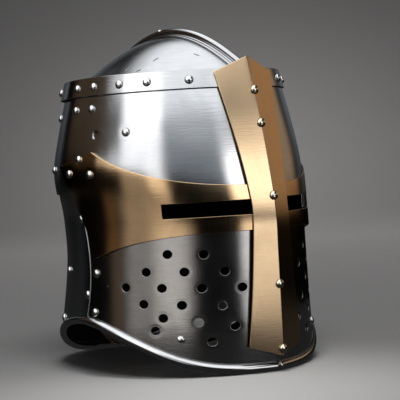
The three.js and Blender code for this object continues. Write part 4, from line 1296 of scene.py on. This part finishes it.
def glow_material(name, patches, overhead=None, solid_range=None):
    """Light that depends on the place it comes from. A patch is a range of bearings and one of elevations in
    degrees, each with its softness, a strength and a colour; overlapping patches add up. overhead is a
    rectangle one unit above, in x and y. Outside solid_range, bearings and a top, there is nothing to see."""
    n = Nodes(name)
    n.tree.nodes.remove(n.shader)
    x, y, z = n.node("SeparateXYZ", Vector=n.place).outputs
    turn = n.math("ARCTAN2", n.math("MULTIPLY", x, -1.0), n.math("MULTIPLY", y, -1.0))
    bearing = n.math("MULTIPLY", turn, 180 / math.pi)
    flat = n.math("SQRT", n.math("ADD", n.math("MULTIPLY", x, x), n.math("MULTIPLY", y, y)))
    elevation = n.math("MULTIPLY", n.math("ARCTAN2", z, flat), 180 / math.pi)

    def between(value, low, high, soft):
        rise = n.ramp(value, low - soft, low + soft, smooth=True)
        fall = n.ramp(value, high + soft, high - soft, smooth=True)
        return n.math("MULTIPLY", rise, fall)

    def window(first, first_range, second, second_range):
        return n.math("MULTIPLY", between(first, *first_range), between(second, *second_range))

    amounts = [(window(bearing, bearings, elevation, elevations), strength, colour)
               for bearings, elevations, strength, colour in patches]
    if overhead:
        x_range, y_range, skew, lowest, strength, colour = overhead
        height = n.math("MAXIMUM", z, 0.01)
        across, along = n.math("DIVIDE", x, height), n.math("DIVIDE", y, height)
        across = n.math("SUBTRACT", across, n.math("MULTIPLY", along, skew))
        high_enough = n.ramp(elevation, *lowest, smooth=True)
        amount = n.math("MULTIPLY", window(across, x_range, along, y_range), high_enough)
        amounts.append((amount, strength, colour))
    total = None
    for amount, strength, colour in amounts:
        glow = n.node("Emission", Color=colour, Strength=n.math("MULTIPLY", amount, strength)).outputs[0]
        total = joined(n, "AddShader", total, glow) if total else glow
    if solid_range:
        bearings, top = solid_range
        solid = n.math("MULTIPLY", between(bearing, *bearings), n.ramp(z, top, top * 0.75, smooth=True))
        total = joined(n, "MixShader", solid, n.node("BsdfTransparent").outputs[0], total)
    n.link(total, n.tree.nodes["Material Output"].inputs["Surface"])
    return n.material


def only_reflected(obj):
    """Seen in the metal and nowhere else: it lights no dull surface and casts no shadow."""
    obj.visible_camera = False
    obj.visible_diffuse = False
    obj.visible_transmission = False
    obj.visible_volume_scatter = False
    obj.visible_shadow = False


SKY_PATCHES = [  # bearings, elevations, strength, colour; placed for the highlights seen on the metal
    ((-16, 12, 4), (7, 20, 3), 2.1, WHITE),
    ((-16, 14, 5), (20, 26, 4), 0.7, WHITE),
    ((12, 60, 5), (12, 26, 3), 0.31, COOL),
    ((60, 99, 5), (9, 30, 3), 1.65, WHITE),
    ((58, 73, 4), (2, 9, 3), 1.10, GREY),
    ((73, 96, 4), (-3, 9, 3), 0.28, GREY),
    ((100, 110, 4), (9, 17, 3), 1.0, WHITE),
    ((110, 122, 3), (10, 13, 2), 0.8, WHITE),
    ((108, 166, 6), (10, 34, 6), 0.06, BROWN),
    ((-100, -62, 6), (2, 30, 6), 0.33, BROWN),
    ((-165, -110, 12), (2, 28, 8), 0.14, COOL),
    ((-62, -18, 6), (10, 28, 6), 0.27, GREY),
    ((-180, -172, 3), (4, 34, 8), 0.14, COOL),
]
OVERHEAD = ((-2.4, 0.56, 0.25), (-2.6, 0.92, 0.30), 0.35, (23, 29.5), 1.45, (0.97, 0.99, 1.0))
ALL_HEIGHTS = (-10, 80, 5)
SKIRT_PATCHES = [
    ((-14, 9, 3), ALL_HEIGHTS, 0.9, WHITE),
    ((-14, 9, 3), (9, 80, 4), 0.5, WHITE),
    ((44, 70, 7), ALL_HEIGHTS, 0.70, GREY),
    ((70, 94, 6), ALL_HEIGHTS, 0.30, GREY),
    ((97, 108, 5), ALL_HEIGHTS, 0.10, BROWN),
    ((145, 181, 8), ALL_HEIGHTS, 0.04, COOL),
]

sky_radius, skirt_radius, skirt_top = 3.0, 0.60, 0.17
sky = stage_object("sky_light", *lathe([(sky_radius * math.cos(e), sky_radius * math.sin(e))
                                        for e in np.radians([*range(-3, 90, 3), 89.9])], 96),
                   glow_material("sky_light", SKY_PATCHES, OVERHEAD))
sky.location = HELM_MIDDLE
skirt = stage_object("low_light", *lathe([(skirt_radius, 0.0), (skirt_radius, skirt_top)], 96),
                     glow_material("low_light", SKIRT_PATCHES, solid_range=((-125, 150, 14), skirt_top)))
only_reflected(sky)
only_reflected(skirt)


def bowl():
    """The floor, which curves up all round into the backdrop, with painted light: a soft glow on the backdrop
    behind the helm, fading to almost nothing near it.
    """
    flat, curve, top = 3.2, 1.4, 4.5
    glow_middle, glow_width, glow_height, glow_strength = (2.69, 3.38, 0.13), 0.95, 0.62, 0.16
    bend = [(flat + curve * math.sin(a), curve * (1 - math.cos(a))) for a in np.radians(np.arange(0, 91, 6))]
    profile = [(0.001, 0), (0.3, 0), (0.8, 0), (1.6, 0)] + bend + [(flat + curve, top)]
    n = Nodes("floor")
    cloud = n.noise(n.mapped((1, 1, 1)), scale=2.5, detail=3)
    # painted light: the floor's emission, a soft patch on the backdrop far behind, faint close to the helm
    across = n.math("DIVIDE", n.towards((0.80, -0.60, 0.0), glow_middle), glow_width)
    upward = n.math("DIVIDE", n.towards((0.0, 0.0, 1.0), glow_middle), glow_height)
    spread = n.math("ADD", n.math("MULTIPLY", across, across), n.math("MULTIPLY", upward, upward))
    depth = n.ramp(n.towards((0.60, 0.80, 0.0), (0.02, -0.01, 0.0)), 0.1, 1.9, 0.03, 1.0)
    glow = n.math("MULTIPLY", n.math("EXPONENT", n.math("MULTIPLY", spread, -1.0)), depth)
    n.set(Base_Color=n.mix(cloud, (0.72, 0.715, 0.71), (0.76, 0.755, 0.75)), Roughness=0.8,
          Specular_IOR_Level=0.0, Emission_Color=(1.0, 0.975, 0.96),
          Emission_Strength=n.math("MULTIPLY", glow, glow_strength))
    floor = stage_object("floor", *lathe(profile), n.material)
    floor.visible_glossy = False


bowl()


def aimed(place, target):
    turn = (target - place).to_track_quat("-Z", "Y").to_matrix().to_4x4()
    return Matrix.Translation(place) @ turn


def soft_lamp(name, place, target, size, power, spread=180):
    """A lamp for the floor, the leather and everything dull; polished metal doesn't mirror it."""
    data = bpy.data.lights.new(name, "AREA")
    data.shape = "DISK"
    data.size, data.energy, data.spread = size, power, math.radians(spread)
    lamp = bpy.data.objects.new(name, data)
    bpy.context.scene.collection.objects.link(lamp)
    lamp.matrix_world = aimed(Vector(place), Vector(target))
    lamp.visible_glossy = False
    lamp.visible_camera = False


soft_lamp("floor_lamp", (-0.13, -0.22, 1.7), (-0.13, -0.22, 0), 0.2, 0.17, spread=21)
soft_lamp("fill_lamp", (-0.6, -1.2, 2.4), (0.0, 0.0, 0.1), 1.4, 16)

world = bpy.data.worlds.new("studio")
bpy.context.scene.world = world
world.use_nodes = True
world.node_tree.nodes["Background"].inputs["Color"].default_value = (0.02, 0.02, 0.02, 1)
bpy.context.scene.view_settings.view_transform = "Standard"

CAMERA_PLACE = Vector((-0.8656, -1.1951, 0.2098))
CAMERA_TARGET = Vector((0.0196, -0.0099, 0.1639))
CAMERA_ROLL = math.radians(-3.28)
CAMERA_LENS = 128.0

camera_data = bpy.data.cameras.new("camera")
camera_data.lens = CAMERA_LENS
camera_data.sensor_width = 36
camera = bpy.data.objects.new("camera", camera_data)
bpy.context.scene.collection.objects.link(camera)
camera.matrix_world = aimed(CAMERA_PLACE, CAMERA_TARGET) @ Matrix.Rotation(CAMERA_ROLL, 4, "Z")
bpy.context.scene.camera = camera
